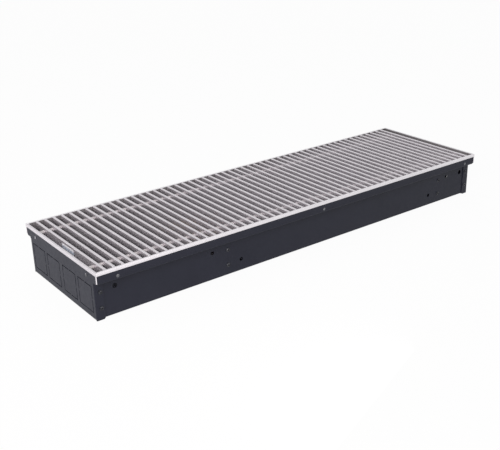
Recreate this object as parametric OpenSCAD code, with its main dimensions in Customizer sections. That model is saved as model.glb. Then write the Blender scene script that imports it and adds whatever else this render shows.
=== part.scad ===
// Trench convector heater: a folded steel trough with two end caps, a mitred aluminium edge
// frame, a roll-up bar grille that lifts out, and a finned water coil on two brackets.
// Sizes are in millimetres. X runs along the trough, Y across it and Z up.
// The origin lies under the middle of the heater, on the surface that it stands on.

/* [Overall] */
// Length over the edge frame
overall_length = 1000; // [860:10:1400]
// Height from the floor to the top of the frame
overall_height = 100; // [97:0.5:130]

/* [Trough] */
// Outer width of the folded trough
trough_width = 262; // [250:1:300]
// Reach of the edge frame past the trough wall
ledge_reach = 16; // [14:0.5:22]
// Thickness of the trough sheet
sheet_t = 1.2; // [0.8:0.1:1.6]
// Inner radius of the folds
fold_r = 0.8; // [0.4:0.1:1.2]
// Distance from the frame's left end to the left anchor hole
anchor_left = 43; // [36:1:60]
// Distance from the frame's right end to the right anchor hole
anchor_right = 31; // [28:1:60]
// Diameter of an anchor hole
anchor_hole_d = 10; // [6:0.5:12]
// Diameter of a tie hole
tie_hole_d = 8; // [5:0.5:10]
// Drop from the ledge to the upper wall holes
upper_hole_drop = 18; // [14:0.5:24]
// Height of the lower wall holes above the trough floor's underside
lower_hole_rise = 24; // [16:0.5:30]

/* [End caps] */
// Thickness of the end cap sheet
cap_t = 1.5; // [1:0.1:1.6]
// Width of the flaps that wrap round the trough walls
flap_w = 18; // [16:0.5:22]
// Gap between a flap's top and the ledge above it
flap_top_gap = 1.5; // [0.5:0.1:3]
// Reach of the cap's flange under the trough
cap_foot = 16; // [8:0.5:20]
// Cut-off at the free corners of the flaps
flap_corner = 3; // [1:0.5:5]
// Width of a knock-out
knockout_w = 50; // [40:1:54]
// Height of the knock-outs' lower edge
knockout_low = 14.8; // [11:0.1:18]
// Drop from the ledge to the knock-outs' upper edge
knockout_drop = 11.2; // [8:0.1:14]
// Width of the slot round a knock-out
knockout_slot = 1.8; // [0.8:0.1:2]
// Width of the bridges that hold a knock-out
knockout_bridge = 2.4; // [1.5:0.1:4]
// Distance from the middle of the cap to the inner knock-outs
knockout_inner = 33; // [30:0.5:36]
// Distance from the inner to the outer knock-outs
knockout_step = 63; // [60:0.5:66]
// Radius of the ears' lower corners
ear_r = 4; // [2:0.5:5]

/* [Edge frame] */
// Width of the frame's head, seen from above
head_w = 4.5; // [4.4:0.1:6.5]
// Height of the head above the steel
head_rise = 6.2; // [4:0.1:9]
// Thickness of the frame's leg behind the steel
leg_t = 1.8; // [1.2:0.1:1.9]
// Thickness of the frame's foot on the ledge
foot_t = 2; // [1.2:0.1:3]
// Bevel along the head's top edges
head_bevel = 0.4; // [0.2:0.1:0.8]
// Reach of a corner key past the frame's leg, towards a lip
key_arm_lip = 1; // [0.6:0.1:3]
// Reach of a corner key past the frame's leg, towards an ear
key_arm_ear = 1.3; // [0.6:0.1:3]
// Set-back of the corner keys from the head's outer sides
key_inset = 0.3; // [0.1:0.1:0.6]
// Distance from the frame's left end to the left frame screw
frame_screw_left = 43; // [30:1:80]
// Distance from the frame's left end to the middle frame screw
frame_screw_mid = 527; // [400:1:600]
// Distance from the frame's right end to the right frame screw
frame_screw_right = 32; // [28:1:80]
// Distance from the frame's long side to a frame screw in the end cap
cap_frame_screw_inset = 40; // [30:1:60]
// Drop from the top of the steel to the frame screws
frame_screw_drop = 10.8; // [7:0.1:11.5]

/* [Grille] */
// Width of a bar
bar_w = 5.5; // [4:0.1:8]
// Height of a bar
bar_h = 18; // [17:0.5:20]
// Distance from bar to bar
bar_pitch = 18.04; // [15:0.01:24]
// Least distance from the frame to the middle of the first bar
bar_margin = 17; // [14:0.5:20]
// Gap between the bar ends and the frame
bar_end_gap = 0.8; // [0.5:0.1:2]
// Bevel along the bars' top edges
bar_bevel = 0.5; // [0.2:0.1:1]
// Distance from the frame's outer side to a grille rod
rod_inset = 44.5; // [34:0.5:60]
// Diameter of a grille rod
rod_d = 3; // [2:0.1:4]
// Outer diameter of the spacers between the bars
spacer_d = 7.6; // [5:0.1:9]
// Gap between a rod cap and the frame
rod_cap_gap = 1; // [0.6:0.1:2]
// Wall at the closed end of a rod cap
rod_cap_wall = 2; // [1:0.1:4]
// Thickness of the rubber strips under the bars
strip_t = 2.8; // [1.5:0.1:4]
// Width of the rubber strips
strip_w = 8; // [5:0.5:9]
// Length of the blank label on the first bar
label_l = 48; // [30:1:70]
// Height of the blank label
label_h = 11.5; // [6:0.5:12]
// Thickness of the blank label
label_t = 0.3; // [0.2:0.05:0.5]
// Gap between the top of the first bar and the blank label
label_drop = 5; // [2:0.1:6]

/* [Coil] */
// Distance from the frame's left end to the left bracket's screws
left_bay = 290.5; // [240:0.5:340]
// Distance from the frame's right end to the right bracket's screws
right_bay = 105; // [96:0.5:160]
// Gap between the brackets and the bars
bracket_bar_gap = 18.5; // [15:0.5:21]
// Thickness of a bracket
bracket_t = 1.5; // [1:0.1:2]
// Width of a bracket's side tabs
bracket_tab = 18; // [14:0.5:24]
// Gap between the fins and the bars
fin_bar_gap = 24; // [22:0.5:30]
// Width of the fins
fin_w = 130; // [100:1:150]
// Thickness of a fin
fin_t = 0.5; // [0.3:0.1:0.8]
// Distance from fin to fin
fin_pitch = 8; // [6:0.5:14]
// Gap between the fins and the trough floor
fin_floor_gap = 5.3; // [3:0.1:8]
// Gap between the fins and the brackets
fin_end_gap = 9; // [5:0.5:20]
// Outer diameter of the tubes
tube_d = 15; // [12:0.5:16]
// Wall of the tubes
tube_wall = 0.8; // [0.6:0.1:1.2]
// Distance between the tube columns
tube_span_y = 65; // [50:1:76]
// Reach of the tubes past the bracket plates, up to the bends
tube_stub = 14; // [4:0.5:20]
// Wall of the collars that space the fins
collar_t = 0.6; // [0.4:0.1:1]

/* [Fittings] */
// Width across the flats of a pipe fitting
fitting_af = 27; // [25:0.5:27]
// Length of a pipe fitting
fitting_l = 36; // [32:0.5:50]
// Minor radius of the pipe thread
pipe_thread_r = 9.3; // [8:0.1:10]
// Depth of the pipe thread
pipe_thread_l = 14; // [10:0.5:16]
// Gap between the left bend and the fittings
fitting_gap = 2; // [1:0.5:10]
// Depth of the tube's seat in a fitting
socket_l = 8; // [6:0.5:10]
// Radius of the water way through a fitting
waterway_r = 6; // [4:0.1:6.5]
// Step from a fitting's hexagon down to its neck
fitting_step = 1; // [0.5:0.1:2]
// Width across the flats of the air vent
vent_af = 12; // [11:0.5:14]
// Thickness of the air vent's hexagon
vent_hex_h = 4; // [3:0.1:5]
// Length of the air vent's nose
vent_nose_h = 4; // [3:0.1:6]
// Radius of the air vent's nose
vent_nose_r = 4.5; // [3.5:0.1:5]
// Radius of the air vent's thread in the fitting
vent_seat_r = 4; // [3:0.1:5]
// Depth of the air vent's thread in the fitting
vent_seat = 3.5; // [2:0.1:4]
// Radius of the port from the water way to the air vent
vent_port_r = 1.2; // [0.8:0.1:1.4]
// Radius of the air vent screw
vent_screw_r = 2; // [1.5:0.1:2.5]
// Side of the square on the air vent screw
vent_key = 5; // [4:0.1:6]
// Length of the square on the air vent screw
vent_key_h = 4; // [3:0.1:6]

/* [Fasteners] */
// Diameter of a wall screw's shank
wall_screw_d = 4; // [3:0.1:5]
// Diameter of a wall screw's head
wall_head_d = 8.4; // [7:0.1:9]
// Height of a wall screw's head
wall_head_h = 2.2; // [1.6:0.1:3]
// Distance across the flats of a wall screw's socket
wall_socket_af = 2.5; // [2:0.1:3]
// Radius of a wall screw's domed head
wall_dome_r = 6.3; // [5:0.1:8]
// Height of the wall nuts
wall_nut_h = 3.2; // [2.4:0.1:4]
// Distance across the flats of the wall nuts
wall_nut_af = 7; // [6.8:0.1:8]
// Length of thread past a wall nut
wall_screw_end = 1; // [0.5:0.1:2]
// Distance from the frame's end to the flap screws
flap_screw_x = 12.5; // [11:0.5:14]
// Height of the lower wall screws above the trough floor's underside
lower_screw_rise = 21.5; // [18:0.5:24]
// Drop from the ledge to the upper wall screws
upper_screw_drop = 21; // [19:0.5:26]
// Distance from the left bracket's screws to the upper tie hole
left_tie_out = 36; // [20:1:60]
// Distance from the right bracket's screws to the upper tie hole
right_tie_out = 27; // [20:1:40]
// Distance from a bracket's screws to the lower tie hole
tie_in = 32; // [20:1:60]
// Diameter of a frame screw's shank
frame_screw_d = 3; // [2.5:0.1:3.5]
// Diameter of a frame screw's head
frame_head_d = 6.4; // [5:0.1:7]
// Height of a frame screw's head
frame_head_h = 1.1; // [0.8:0.1:1.2]
// Width of the cross recess in a frame screw
cross_w = 0.8; // [0.5:0.1:1]

/* [Levelling feet] */
// Distance from the frame's end to a levelling screw
level_inset_x = 60; // [45:1:80]
// Distance from the trough wall to a levelling screw
level_inset_y = 16; // [13:0.5:30]
// Diameter of a levelling screw
level_d = 8; // [6:0.5:10]
// Length of a levelling screw
level_l = 45; // [30:1:60]
// Distance across the flats of the levelling nuts
level_nut_af = 13; // [12:0.5:16]
// Height of the levelling nuts
level_nut_h = 6.5; // [4:0.5:8]
// Distance across the flats of a levelling screw's socket
level_socket_af = 4; // [3:0.1:4.4]
// Depth of a levelling screw's socket
level_socket_l = 4; // [2:0.5:6]
// Diameter of a levelling pad
pad_d = 20; // [14:0.5:22]
// Gap under and over a levelling pad at rest
pad_gap = 0.15; // [0.1:0.05:0.2]

/* [Hidden] */

// Facets of a round face
$fn = 48;
// Overrun of a cut past the face that it leaves
cut = 1;
// Clearance between a shank and its hole
shank_fit = 0.05;
// Set-back of the frame's foot from the trough wall's outer face
foot_inset = 0.6;
// Gap under a turning piece
turn_gap = 0.3;
// Steps round the arc of a fold
fold_steps = 4;

// Colours
black_steel = [0.20, 0.20, 0.22];
pale_aluminium = [0.88, 0.87, 0.89];
fin_aluminium = [0.72, 0.73, 0.75];
zinc = [0.62, 0.63, 0.65];
dark_screw = [0.16, 0.16, 0.18];
copper = [0.78, 0.45, 0.30];
brass = [0.78, 0.66, 0.38];
rubber = [0.10, 0.10, 0.10];
label_white = [0.95, 0.95, 0.96];

// Places across the heater
overall_width = trough_width + 2 * ledge_reach;
half_l = overall_length / 2;
half_w = overall_width / 2;
wall_out = trough_width / 2;
wall_in = wall_out - sheet_t;
rebate = head_w - leg_t;
lip_out = half_w - rebate + sheet_t;
cap_out = half_l - rebate + cap_t;
lip_gap = rebate + key_arm_lip;
ear_gap = rebate + key_arm_ear;
trough_half_l = half_l - rebate - fold_r;
trough_seam = wall_out - fold_r - 2 * sheet_t;

// Heights
trough_floor = cap_t;
floor_top = trough_floor + sheet_t;
lip_top = overall_height - head_rise;
bar_low = overall_height - bar_h;
foot_top = bar_low - strip_t;
ledge_top = foot_top - foot_t;
ledge_under = ledge_top - sheet_t;
flap_top = ledge_under - flap_top_gap;
upper_hole_z = ledge_under - upper_hole_drop;
lower_hole_z = trough_floor + lower_hole_rise;
screw_heights = [trough_floor + lower_screw_rise, ledge_under - upper_screw_drop];
frame_screw_z = lip_top - frame_screw_drop;

// Height of a knock-out
knockout_h = ledge_under - knockout_drop - knockout_low;

// Outer faces of the end cap's flaps, the radius outside its folds and the relief beside them
flap_out = wall_out + cap_t;
cap_fold_r = fold_r + cap_t;
cap_relief = cap_t / 2;

// Reach of the frame's foot from the frame's outer side
frame_reach = ledge_reach - foot_inset;

// Bars and rods
bar_gaps = floor((overall_length - 2 * head_w - 2 * bar_margin) / bar_pitch);
first_bar = -bar_gaps * bar_pitch / 2;
bar_half_l = half_w - head_w - bar_end_gap;
rod_y = half_w - rod_inset;
rod_z = bar_low + bar_h / 2;
rod_r = rod_d / 2;
rod_hole_r = rod_r + shank_fit;
rod_cap_out = half_l - head_w - rod_cap_gap;

// Brackets
bracket_low = floor_top + fold_r;
bracket_h = bar_low - bracket_bar_gap - bracket_low;
bracket_left_x = -half_l + left_bay;
bracket_right_x = half_l - right_bay;
plate_left_x = bracket_left_x + bracket_tab / 2;
plate_right_x = bracket_right_x - bracket_tab / 2;

// Coil, with its tube rows spread over a share of the fins' height
tube_row_share = 0.5;
fin_low = floor_top + fin_floor_gap;
fin_h = bar_low - fin_bar_gap - fin_low;
coil_z = fin_low + fin_h / 2;
tube_span_z = tube_row_share * fin_h;
tube_r = tube_d / 2;
tube_hole_r = tube_r + shank_fit;
tube_left = plate_left_x - bracket_t - tube_stub;
tube_right = plate_right_x + bracket_t + tube_stub;
tube_low_z = coil_z - tube_span_z / 2;
tube_high_z = coil_z + tube_span_z / 2;
tube_y = tube_span_y / 2;
fin_first = plate_left_x + fin_end_gap;
fin_last_limit = plate_right_x - fin_end_gap - fin_t;
fin_gaps = floor((fin_last_limit - fin_first) / fin_pitch);

// Fittings and the air vent
fitting_right = tube_left - tube_y - tube_r - fitting_gap;
fitting_left = fitting_right - fitting_l;
vent_x = fitting_left + pipe_thread_l + (fitting_l - pipe_thread_l - socket_l) / 2;
vent_top = vent_hex_h + vent_nose_h;
vent_bore_low = -vent_seat / 2;

// Fasteners
wall_screw_r = wall_screw_d / 2;
wall_hole_r = wall_screw_r + shank_fit;
frame_hole_r = frame_screw_d / 2 + shank_fit;
frame_screw_l = sheet_t + leg_t - shank_fit;

// Levelling feet
level_x = half_l - level_inset_x;
level_y = wall_out - level_inset_y;
level_r = level_d / 2;
level_hole_r = level_r + shank_fit;
pad_low = pad_gap;
pad_top = trough_floor - pad_gap;

// Unit vector from a to b
function heading(a, b) = (b - a) / norm(b - a);

// Vector to the right of a heading
function right_of(d) = [d.y, -d.x];

// Points round a square fold at v, from heading d_in to heading d_out
function fold_arc(v, d_in, d_out, r) = [
    for (i = [0 : fold_steps])
        let (a = 90 * i / fold_steps)
        v + r * (d_out - d_in) - r * cos(a) * d_out + r * sin(a) * d_in
];

// Closed outline of a folded sheet whose left face follows the path
function folded(path, t) =
    let (
        last = len(path) - 1,
        d = [for (i = [0 : last - 1]) heading(path[i], path[i + 1])],
        left_turn = [for (i = [1 : last - 1]) cross(d[i - 1], d[i]) > 0],
        left = [
            for (i = [1 : last - 1])
                each fold_arc(path[i], d[i - 1], d[i], left_turn[i - 1] ? fold_r : fold_r + t)
        ],
        right = [
            for (i = [last - 1 : -1 : 1])
                let (v = path[i] + t * (right_of(d[i - 1]) + right_of(d[i])))
                each fold_arc(v, -d[i], -d[i - 1], left_turn[i - 1] ? fold_r + t : fold_r)
        ]
    )
    concat(
        [path[0]], left, [path[last], path[last] + t * right_of(d[last - 1])],
        right, [path[0] + t * right_of(d[0])]
    );

// Extrude a Y-Z outline along X, centred
module along_x(length) rotate([90, 0, 90]) linear_extrude(length, center = true) children();

// Extrude an X-Z outline along Y, centred
module along_y(length) rotate([90, 0, 0]) linear_extrude(length, center = true) children();

// Turn a piece built up along +Z so that it points along +X or +Y
module face_x() rotate([0, 90, 0]) children();
module face_y() rotate([-90, 0, 0]) children();

// Hexagonal prism along +Z with flats at +Y and -Y
module hex_prism(af, h) cylinder(r = af / 2 / cos(30), h = h, $fn = 6);

// Copies on the front and the back
module both_sides() {
    children();
    mirror([0, 1, 0]) children();
}

// Copies on the left and the right
module both_ends() {
    children();
    mirror([1, 0, 0]) children();
}

// Holes for the wall screws at one distance along the trough, through both walls
module wall_screw_holes(x) {
    for (z = screw_heights)
        translate([x, 0, z]) rotate([90, 0, 0])
            cylinder(r = wall_hole_r, h = overall_width, center = true);
}

// A round hole through both trough walls
module wall_hole(x, z, d) {
    translate([x, 0, z]) rotate([90, 0, 0]) cylinder(d = d, h = overall_width, center = true);
}

// The four places of the levelling screws
module at_level(x_side, y_side) translate([x_side * level_x, y_side * level_y, 0]) children();

// Section of the trough's front side, from its folded foot on the floor up to the lip
side_path = [
    [-trough_seam, trough_floor], [-wall_out, trough_floor],
    [-wall_out, ledge_under], [-lip_out, ledge_under], [-lip_out, lip_top]
];

// Places of the frame screws along the long sides
frame_screw_places = [
    -half_l + frame_screw_left, -half_l + frame_screw_mid, half_l - frame_screw_right
];

// Frame screw holes through the lips and the frame's legs
module long_side_frame_holes() {
    for (x = frame_screw_places)
        translate([x, 0, frame_screw_z]) rotate([90, 0, 0])
            cylinder(r = frame_hole_r, h = overall_width + cut, center = true);
}

// Frame screw holes through the end caps and the short frame pieces
module short_side_frame_holes() {
    for (side = [-1, 1])
        translate([0, side * (half_w - cap_frame_screw_inset), frame_screw_z]) rotate([0, 90, 0])
            cylinder(r = frame_hole_r, h = overall_length + cut, center = true);
}

// Bottom of the trough: a flat sheet between the feet of the two sides
module trough_bottom() color(black_steel) difference() {
    translate([0, 0, trough_floor + sheet_t / 2])
        cube([2 * trough_half_l, 2 * trough_seam, sheet_t], center = true);
    for (x_side = [-1, 1], y_side = [-1, 1])
        at_level(x_side, y_side)
            translate([0, 0, trough_floor - cut]) cylinder(r = level_hole_r, h = sheet_t + 2 * cut);
}

// Front side of the trough: a folded sheet with foot, wall, ledge and lip
module trough_side() difference() {
    along_x(2 * trough_half_l) polygon(folded(side_path, sheet_t));
    // lip cut back at the corners of the frame
    both_ends()
        translate([half_l - lip_gap, -lip_out - cut, foot_top])
            cube([lip_gap + cut, sheet_t + 2 * cut, lip_top]);
    wall_hole(-half_l + anchor_left, upper_hole_z, anchor_hole_d);
    wall_hole(half_l - anchor_right, upper_hole_z, anchor_hole_d);
    wall_hole(bracket_left_x - left_tie_out, upper_hole_z, tie_hole_d);
    wall_hole(bracket_right_x + right_tie_out, upper_hole_z, tie_hole_d);
    wall_hole(bracket_left_x + tie_in, lower_hole_z, tie_hole_d);
    wall_hole(bracket_right_x - tie_in, lower_hole_z, tie_hole_d);
    for (x = [-half_l + flap_screw_x, bracket_left_x, bracket_right_x, half_l - flap_screw_x])
        wall_screw_holes(x);
    long_side_frame_holes();
}
module trough_front() color(black_steel) trough_side();
module trough_back() color(black_steel) mirror([0, 1, 0]) trough_side();

// Slots round one knock-out, broken by a bridge in the middle of each side
module knockout_slots() difference() {
    square([knockout_w + 2 * knockout_slot, knockout_h + 2 * knockout_slot], center = true);
    square([knockout_w, knockout_h], center = true);
    square([knockout_bridge, 2 * knockout_h], center = true);
    square([2 * knockout_w, knockout_bridge], center = true);
}

// Upper plate of an end cap with its two ears, in the Y-Z plane
module cap_band() difference() {
    translate([-lip_out, flap_top - cap_t]) square([2 * lip_out, lip_top - flap_top + cap_t]);
    for (side = [-1, 1]) {
        // below the ears
        translate([side * (flap_out + half_w) / 2, ledge_under / 2])
            square([half_w - flap_out, ledge_under], center = true);
        // room for the corner key
        translate([side * half_w, foot_top + lip_top / 2])
            square([2 * ear_gap, lip_top], center = true);
        // round lower corner of the ear
        translate([side * (lip_out - ear_r), ledge_under + ear_r]) difference() {
            translate([side * ear_r, -ear_r]) square(2 * ear_r, center = true);
            circle(ear_r);
        }
    }
}

// End cap at the left end: plate with knock-outs and ears, two flaps and a bottom flange
module end_cap() {
    x0 = -cap_out;
    flap_end = x0 + flap_w;
    difference() {
        union() {
            linear_extrude(flap_top)
                polygon(folded([[flap_end, -flap_out], [x0, -flap_out],
                    [x0, flap_out], [flap_end, flap_out]], cap_t));
            translate([x0 + cap_t / 2, 0, 0]) along_x(cap_t) cap_band();
        }
        // lower edge makes way for the bottom fold
        translate([x0 - cut, -flap_out + cap_fold_r, -cut])
            cube([cap_t + fold_r + cut, 2 * (flap_out - cap_fold_r), cut + cap_fold_r]);
        // free corners of the flaps
        for (z = [0, flap_top])
            translate([flap_end, 0, z]) rotate([0, 45, 0])
                cube([flap_corner * sqrt(2), overall_width, flap_corner * sqrt(2)], center = true);
        for (y = [knockout_inner, knockout_inner + knockout_step])
            both_sides() translate([x0, y, knockout_low + knockout_h / 2])
                along_x(2 * cap_t + cut) knockout_slots();
        wall_screw_holes(-half_l + flap_screw_x);
        short_side_frame_holes();
    }
    along_y(2 * (flap_out - cap_fold_r) - cap_relief)
        polygon(folded([[x0 + cap_foot, 0], [x0, 0], [x0, cap_fold_r + cap_relief]], cap_t));
}
module end_cap_left() color(black_steel) end_cap();
module end_cap_right() color(black_steel) mirror([1, 0, 0]) end_cap();

// Section of the edge frame: distance in from the outer side, and height
frame_section = [
    [0, lip_top], [rebate, lip_top], [rebate, ledge_top + fold_r],
    [rebate + fold_r, ledge_top], [frame_reach, ledge_top],
    [frame_reach, foot_top], [head_w, foot_top], [head_w, overall_height - head_bevel],
    [head_w - head_bevel, overall_height], [head_bevel, overall_height],
    [0, overall_height - head_bevel]
];

// Frame piece along the front, mitred at both ends
module long_frame() difference() {
    intersection() {
        translate([0, -half_w, 0]) along_x(overall_length) polygon(frame_section);
        linear_extrude(overall_height + cut) polygon([
            [-half_l, -half_w], [half_l, -half_w],
            [half_l - frame_reach, -half_w + frame_reach],
            [-half_l + frame_reach, -half_w + frame_reach]
        ]);
    }
    long_side_frame_holes();
}

// Frame piece along the left end, mitred at both ends
module short_frame() difference() {
    intersection() {
        translate([-half_l, 0, 0]) along_y(overall_width) polygon(frame_section);
        linear_extrude(overall_height + cut) polygon([
            [-half_l, -half_w], [-half_l + frame_reach, -half_w + frame_reach],
            [-half_l + frame_reach, half_w - frame_reach], [-half_l, half_w]
        ]);
    }
    short_side_frame_holes();
}
module frame_front() color(pale_aluminium) long_frame();
module frame_back() color(pale_aluminium) mirror([0, 1, 0]) long_frame();
module frame_left() color(pale_aluminium) short_frame();
module frame_right() color(pale_aluminium) mirror([1, 0, 0]) short_frame();

// Corner keys: angles that fill the frame's rebate between the lips and the ears
module corner_keys() color(pale_aluminium)
    both_ends() both_sides()
        translate([-half_l, -half_w, foot_top]) linear_extrude(lip_top - foot_top) polygon([
            [key_inset, key_inset], [lip_gap, key_inset], [lip_gap, rebate],
            [rebate, rebate], [rebate, ear_gap], [key_inset, ear_gap]
        ]);

// Pan head screw with a cross recess, its head's seat at z = 0 and its shank below
module frame_screw() difference() {
    union() {
        cylinder(d1 = frame_head_d, d2 = frame_head_d - frame_head_h, h = frame_head_h);
        translate([0, 0, -frame_screw_l]) cylinder(d = frame_screw_d, h = frame_screw_l + cut / 2);
    }
    for (turn = [0, 90])
        rotate(turn) translate([0, 0, frame_head_h])
            cube([frame_head_d / 2, cross_w, frame_head_h], center = true);
}

// Frame screws: three along each long side and two in each end cap
module frame_screws() color(zinc) {
    both_sides() for (x = frame_screw_places)
        translate([x, -lip_out, frame_screw_z]) rotate([90, 0, 0]) frame_screw();
    both_ends() both_sides()
        translate([-cap_out, half_w - cap_frame_screw_inset, frame_screw_z])
            rotate([0, -90, 0]) frame_screw();
}

// Button head screw with a hexagonal socket, its head's seat at z = 0 and its shank below
module button_screw(grip) difference() {
    union() {
        intersection() {
            cylinder(d = wall_head_d, h = wall_head_h);
            translate([0, 0, wall_head_h - wall_dome_r]) sphere(r = wall_dome_r);
        }
        translate([0, 0, -grip]) cylinder(r = wall_screw_r, h = grip + cut / 2);
    }
    translate([0, 0, wall_head_h / 3]) hex_prism(wall_socket_af, wall_head_h);
}

// Hexagon nut above z = 0 with a bore that clears its screw
module wall_nut() difference() {
    hex_prism(wall_nut_af, wall_nut_h);
    translate([0, 0, -cut]) cylinder(r = wall_hole_r, h = wall_nut_h + 2 * cut);
}

// Screws from the flaps through the trough walls, with nuts inside
cap_screw_grip = cap_t + sheet_t + wall_nut_h + wall_screw_end;
module cap_screws() color(dark_screw)
    both_ends() both_sides() for (z = screw_heights)
        translate([-half_l + flap_screw_x, -flap_out, z])
            rotate([90, 0, 0]) button_screw(cap_screw_grip);
module cap_nuts() color(zinc)
    both_ends() both_sides() for (z = screw_heights)
        translate([-half_l + flap_screw_x, -wall_in, z]) face_y() wall_nut();

// Screws from the trough walls into the brackets' tabs, with nuts inside
bracket_screw_grip = sheet_t + bracket_t + wall_nut_h + wall_screw_end;
module bracket_screws() color(dark_screw)
    both_sides() for (x = [bracket_left_x, bracket_right_x], z = screw_heights)
        translate([x, -wall_out, z]) rotate([90, 0, 0]) button_screw(bracket_screw_grip);
module bracket_nuts() color(zinc)
    both_sides() for (x = [bracket_left_x, bracket_right_x], z = screw_heights)
        translate([x, -wall_in + bracket_t, z]) face_y() wall_nut();

// The four tube centres
tube_centres = [for (y = [-tube_y, tube_y], z = [tube_low_z, tube_high_z]) [y, z]];

// Bores for the four tubes
module tube_bores() {
    for (c = tube_centres)
        translate([0, c.x, c.y]) rotate([0, 90, 0])
            cylinder(r = tube_hole_r, h = overall_length, center = true);
}

// Coil bracket: a plate across the trough with a tab on each wall; side is 1 for tabs to the left
module coil_bracket(plate_x, side) difference() {
    mirror([side < 0 ? 1 : 0, 0, 0]) translate([side * plate_x, 0, bracket_low])
        linear_extrude(bracket_h) polygon(folded([
            [-bracket_tab, wall_in], [0, wall_in], [0, -wall_in], [-bracket_tab, -wall_in]
        ], bracket_t));
    tube_bores();
    wall_screw_holes(plate_x - side * bracket_tab / 2);
}
module bracket_left() color(zinc) coil_bracket(plate_left_x, 1);
module bracket_right() color(zinc) coil_bracket(plate_right_x, -1);

// Fin pack: fins joined by the collars round the four tubes
module fin_pack() color(fin_aluminium) difference() {
    union() {
        for (i = [0 : fin_gaps])
            translate([fin_first + i * fin_pitch, -fin_w / 2, fin_low]) cube([fin_t, fin_w, fin_h]);
        for (c = tube_centres)
            translate([fin_first, c.x, c.y]) face_x()
                cylinder(r = tube_hole_r + collar_t, h = fin_gaps * fin_pitch + fin_t);
    }
    tube_bores();
}

// Straight tube along +X from the given place
module straight_tube(x, y, z, length) translate([x, y, z]) face_x() difference() {
    cylinder(r = tube_r, h = length);
    translate([0, 0, -cut]) cylinder(r = tube_r - tube_wall, h = length + 2 * cut);
}

// Four straight tubes: the lower pair ends at the left bend, the upper pair in the fittings
upper_tube_left = fitting_right - socket_l;
module coil_tubes() color(copper) for (y = [-tube_y, tube_y]) {
    straight_tube(tube_left, y, tube_low_z, tube_right - tube_left);
    straight_tube(upper_tube_left, y, tube_high_z, tube_right - upper_tube_left);
}

// Half ring of tube in the X-Y plane, open towards -X, with the given bend radius
module return_bend(bend_r)
    rotate(-90) rotate_extrude(angle = 180) translate([bend_r, 0]) difference() {
        circle(tube_r);
        circle(tube_r - tube_wall);
    }

// Upright bends that join the lower and upper tubes at the right
module return_bends_right() color(copper)
    for (y = [-tube_y, tube_y])
        translate([tube_right, y, coil_z]) rotate([90, 0, 0]) return_bend(tube_span_z / 2);

// Level bend that joins the two lower tubes at the left
module return_bend_left() color(copper)
    translate([tube_left, 0, tube_low_z]) mirror([1, 0, 0]) return_bend(tube_y);

// Pipe fitting on an upper tube: hexagon with a pipe thread, a water way and a tube seat
module pipe_fitting(y) translate([fitting_left, y, tube_high_z]) face_x() difference() {
    union() {
        hex_prism(fitting_af, fitting_l - socket_l);
        cylinder(r = fitting_af / 2 - fitting_step, h = fitting_l);
    }
    translate([0, 0, -cut]) cylinder(r = pipe_thread_r, h = pipe_thread_l + cut);
    cylinder(r = waterway_r, h = fitting_l);
    translate([0, 0, fitting_l - socket_l]) cylinder(r = tube_hole_r, h = socket_l + cut);
}
module supply_fitting() color(brass) pipe_fitting(-tube_y);
module return_fitting() color(brass) difference() {
    pipe_fitting(tube_y);
    at_vent() {
        translate([0, 0, -vent_seat]) cylinder(r = vent_seat_r + shank_fit, h = vent_seat + cut);
        translate([0, 0, -fitting_af / 2]) cylinder(r = vent_port_r, h = fitting_af / 2);
    }
}

// Place of the air vent: on the back of the return fitting, pointing along +Y
module at_vent() translate([vent_x, tube_y + fitting_af / 2, tube_high_z]) face_y() children();

// Air vent in the side of the return fitting
module air_vent_body() color(brass) at_vent() difference() {
    union() {
        hex_prism(vent_af, vent_hex_h);
        cylinder(r = vent_nose_r, h = vent_top);
        translate([0, 0, -vent_seat]) cylinder(r = vent_seat_r, h = vent_seat + cut);
    }
    translate([0, 0, -vent_seat - cut]) cylinder(r = vent_port_r, h = vent_seat + 2 * cut);
    translate([0, 0, vent_bore_low])
        cylinder(r = vent_screw_r + shank_fit, h = vent_top - vent_bore_low + cut);
}
module air_vent_screw() color(brass) at_vent() {
    translate([0, 0, vent_bore_low + turn_gap])
        cylinder(r = vent_screw_r, h = vent_top - vent_bore_low + cut / 2);
    translate([-vent_key / 2, -vent_key / 2, vent_top + turn_gap])
        cube([vent_key, vent_key, vent_key_h]);
}

// Rubber strips on the frame's feet, under the ends of the bars
module rubber_strip() {
    translate([-half_l + frame_reach, -half_w + head_w + bar_end_gap, foot_top])
        cube([2 * (half_l - frame_reach), strip_w, strip_t]);
}
module rubber_strip_front() color(rubber) rubber_strip();
module rubber_strip_back() color(rubber) mirror([0, 1, 0]) rubber_strip();

// One grille bar across the trough, with its two rod holes
module grille_bar() difference() {
    along_y(2 * bar_half_l) polygon([
        [-bar_w / 2, bar_low], [bar_w / 2, bar_low],
        [bar_w / 2, overall_height - bar_bevel], [bar_w / 2 - bar_bevel, overall_height],
        [-bar_w / 2 + bar_bevel, overall_height], [-bar_w / 2, overall_height - bar_bevel]
    ]);
    for (y = [-rod_y, rod_y])
        translate([0, y, rod_z]) rotate([0, 90, 0])
            cylinder(r = rod_hole_r, h = bar_w + 2 * cut, center = true);
}
module grille_bars() color(pale_aluminium)
    for (i = [0 : bar_gaps]) translate([first_bar + i * bar_pitch, 0, 0]) grille_bar();

// Tubular spacers on the rods, one in each gap
spacer_l = bar_pitch - bar_w;
module grille_spacers() color(fin_aluminium)
    for (i = [0 : bar_gaps - 1], y = [-rod_y, rod_y])
        translate([first_bar + i * bar_pitch + bar_w / 2, y, rod_z]) face_x() difference() {
            cylinder(d = spacer_d, h = spacer_l, $fn = 32);
            translate([0, 0, -cut]) cylinder(r = rod_hole_r, h = spacer_l + 2 * cut, $fn = 32);
        }

// Rods that string the bars together
rod_end = rod_cap_out - rod_cap_wall;
module grille_rods() color(zinc)
    for (y = [-rod_y, rod_y])
        translate([-rod_end, y, rod_z]) face_x() cylinder(r = rod_r, h = 2 * rod_end);

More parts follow.
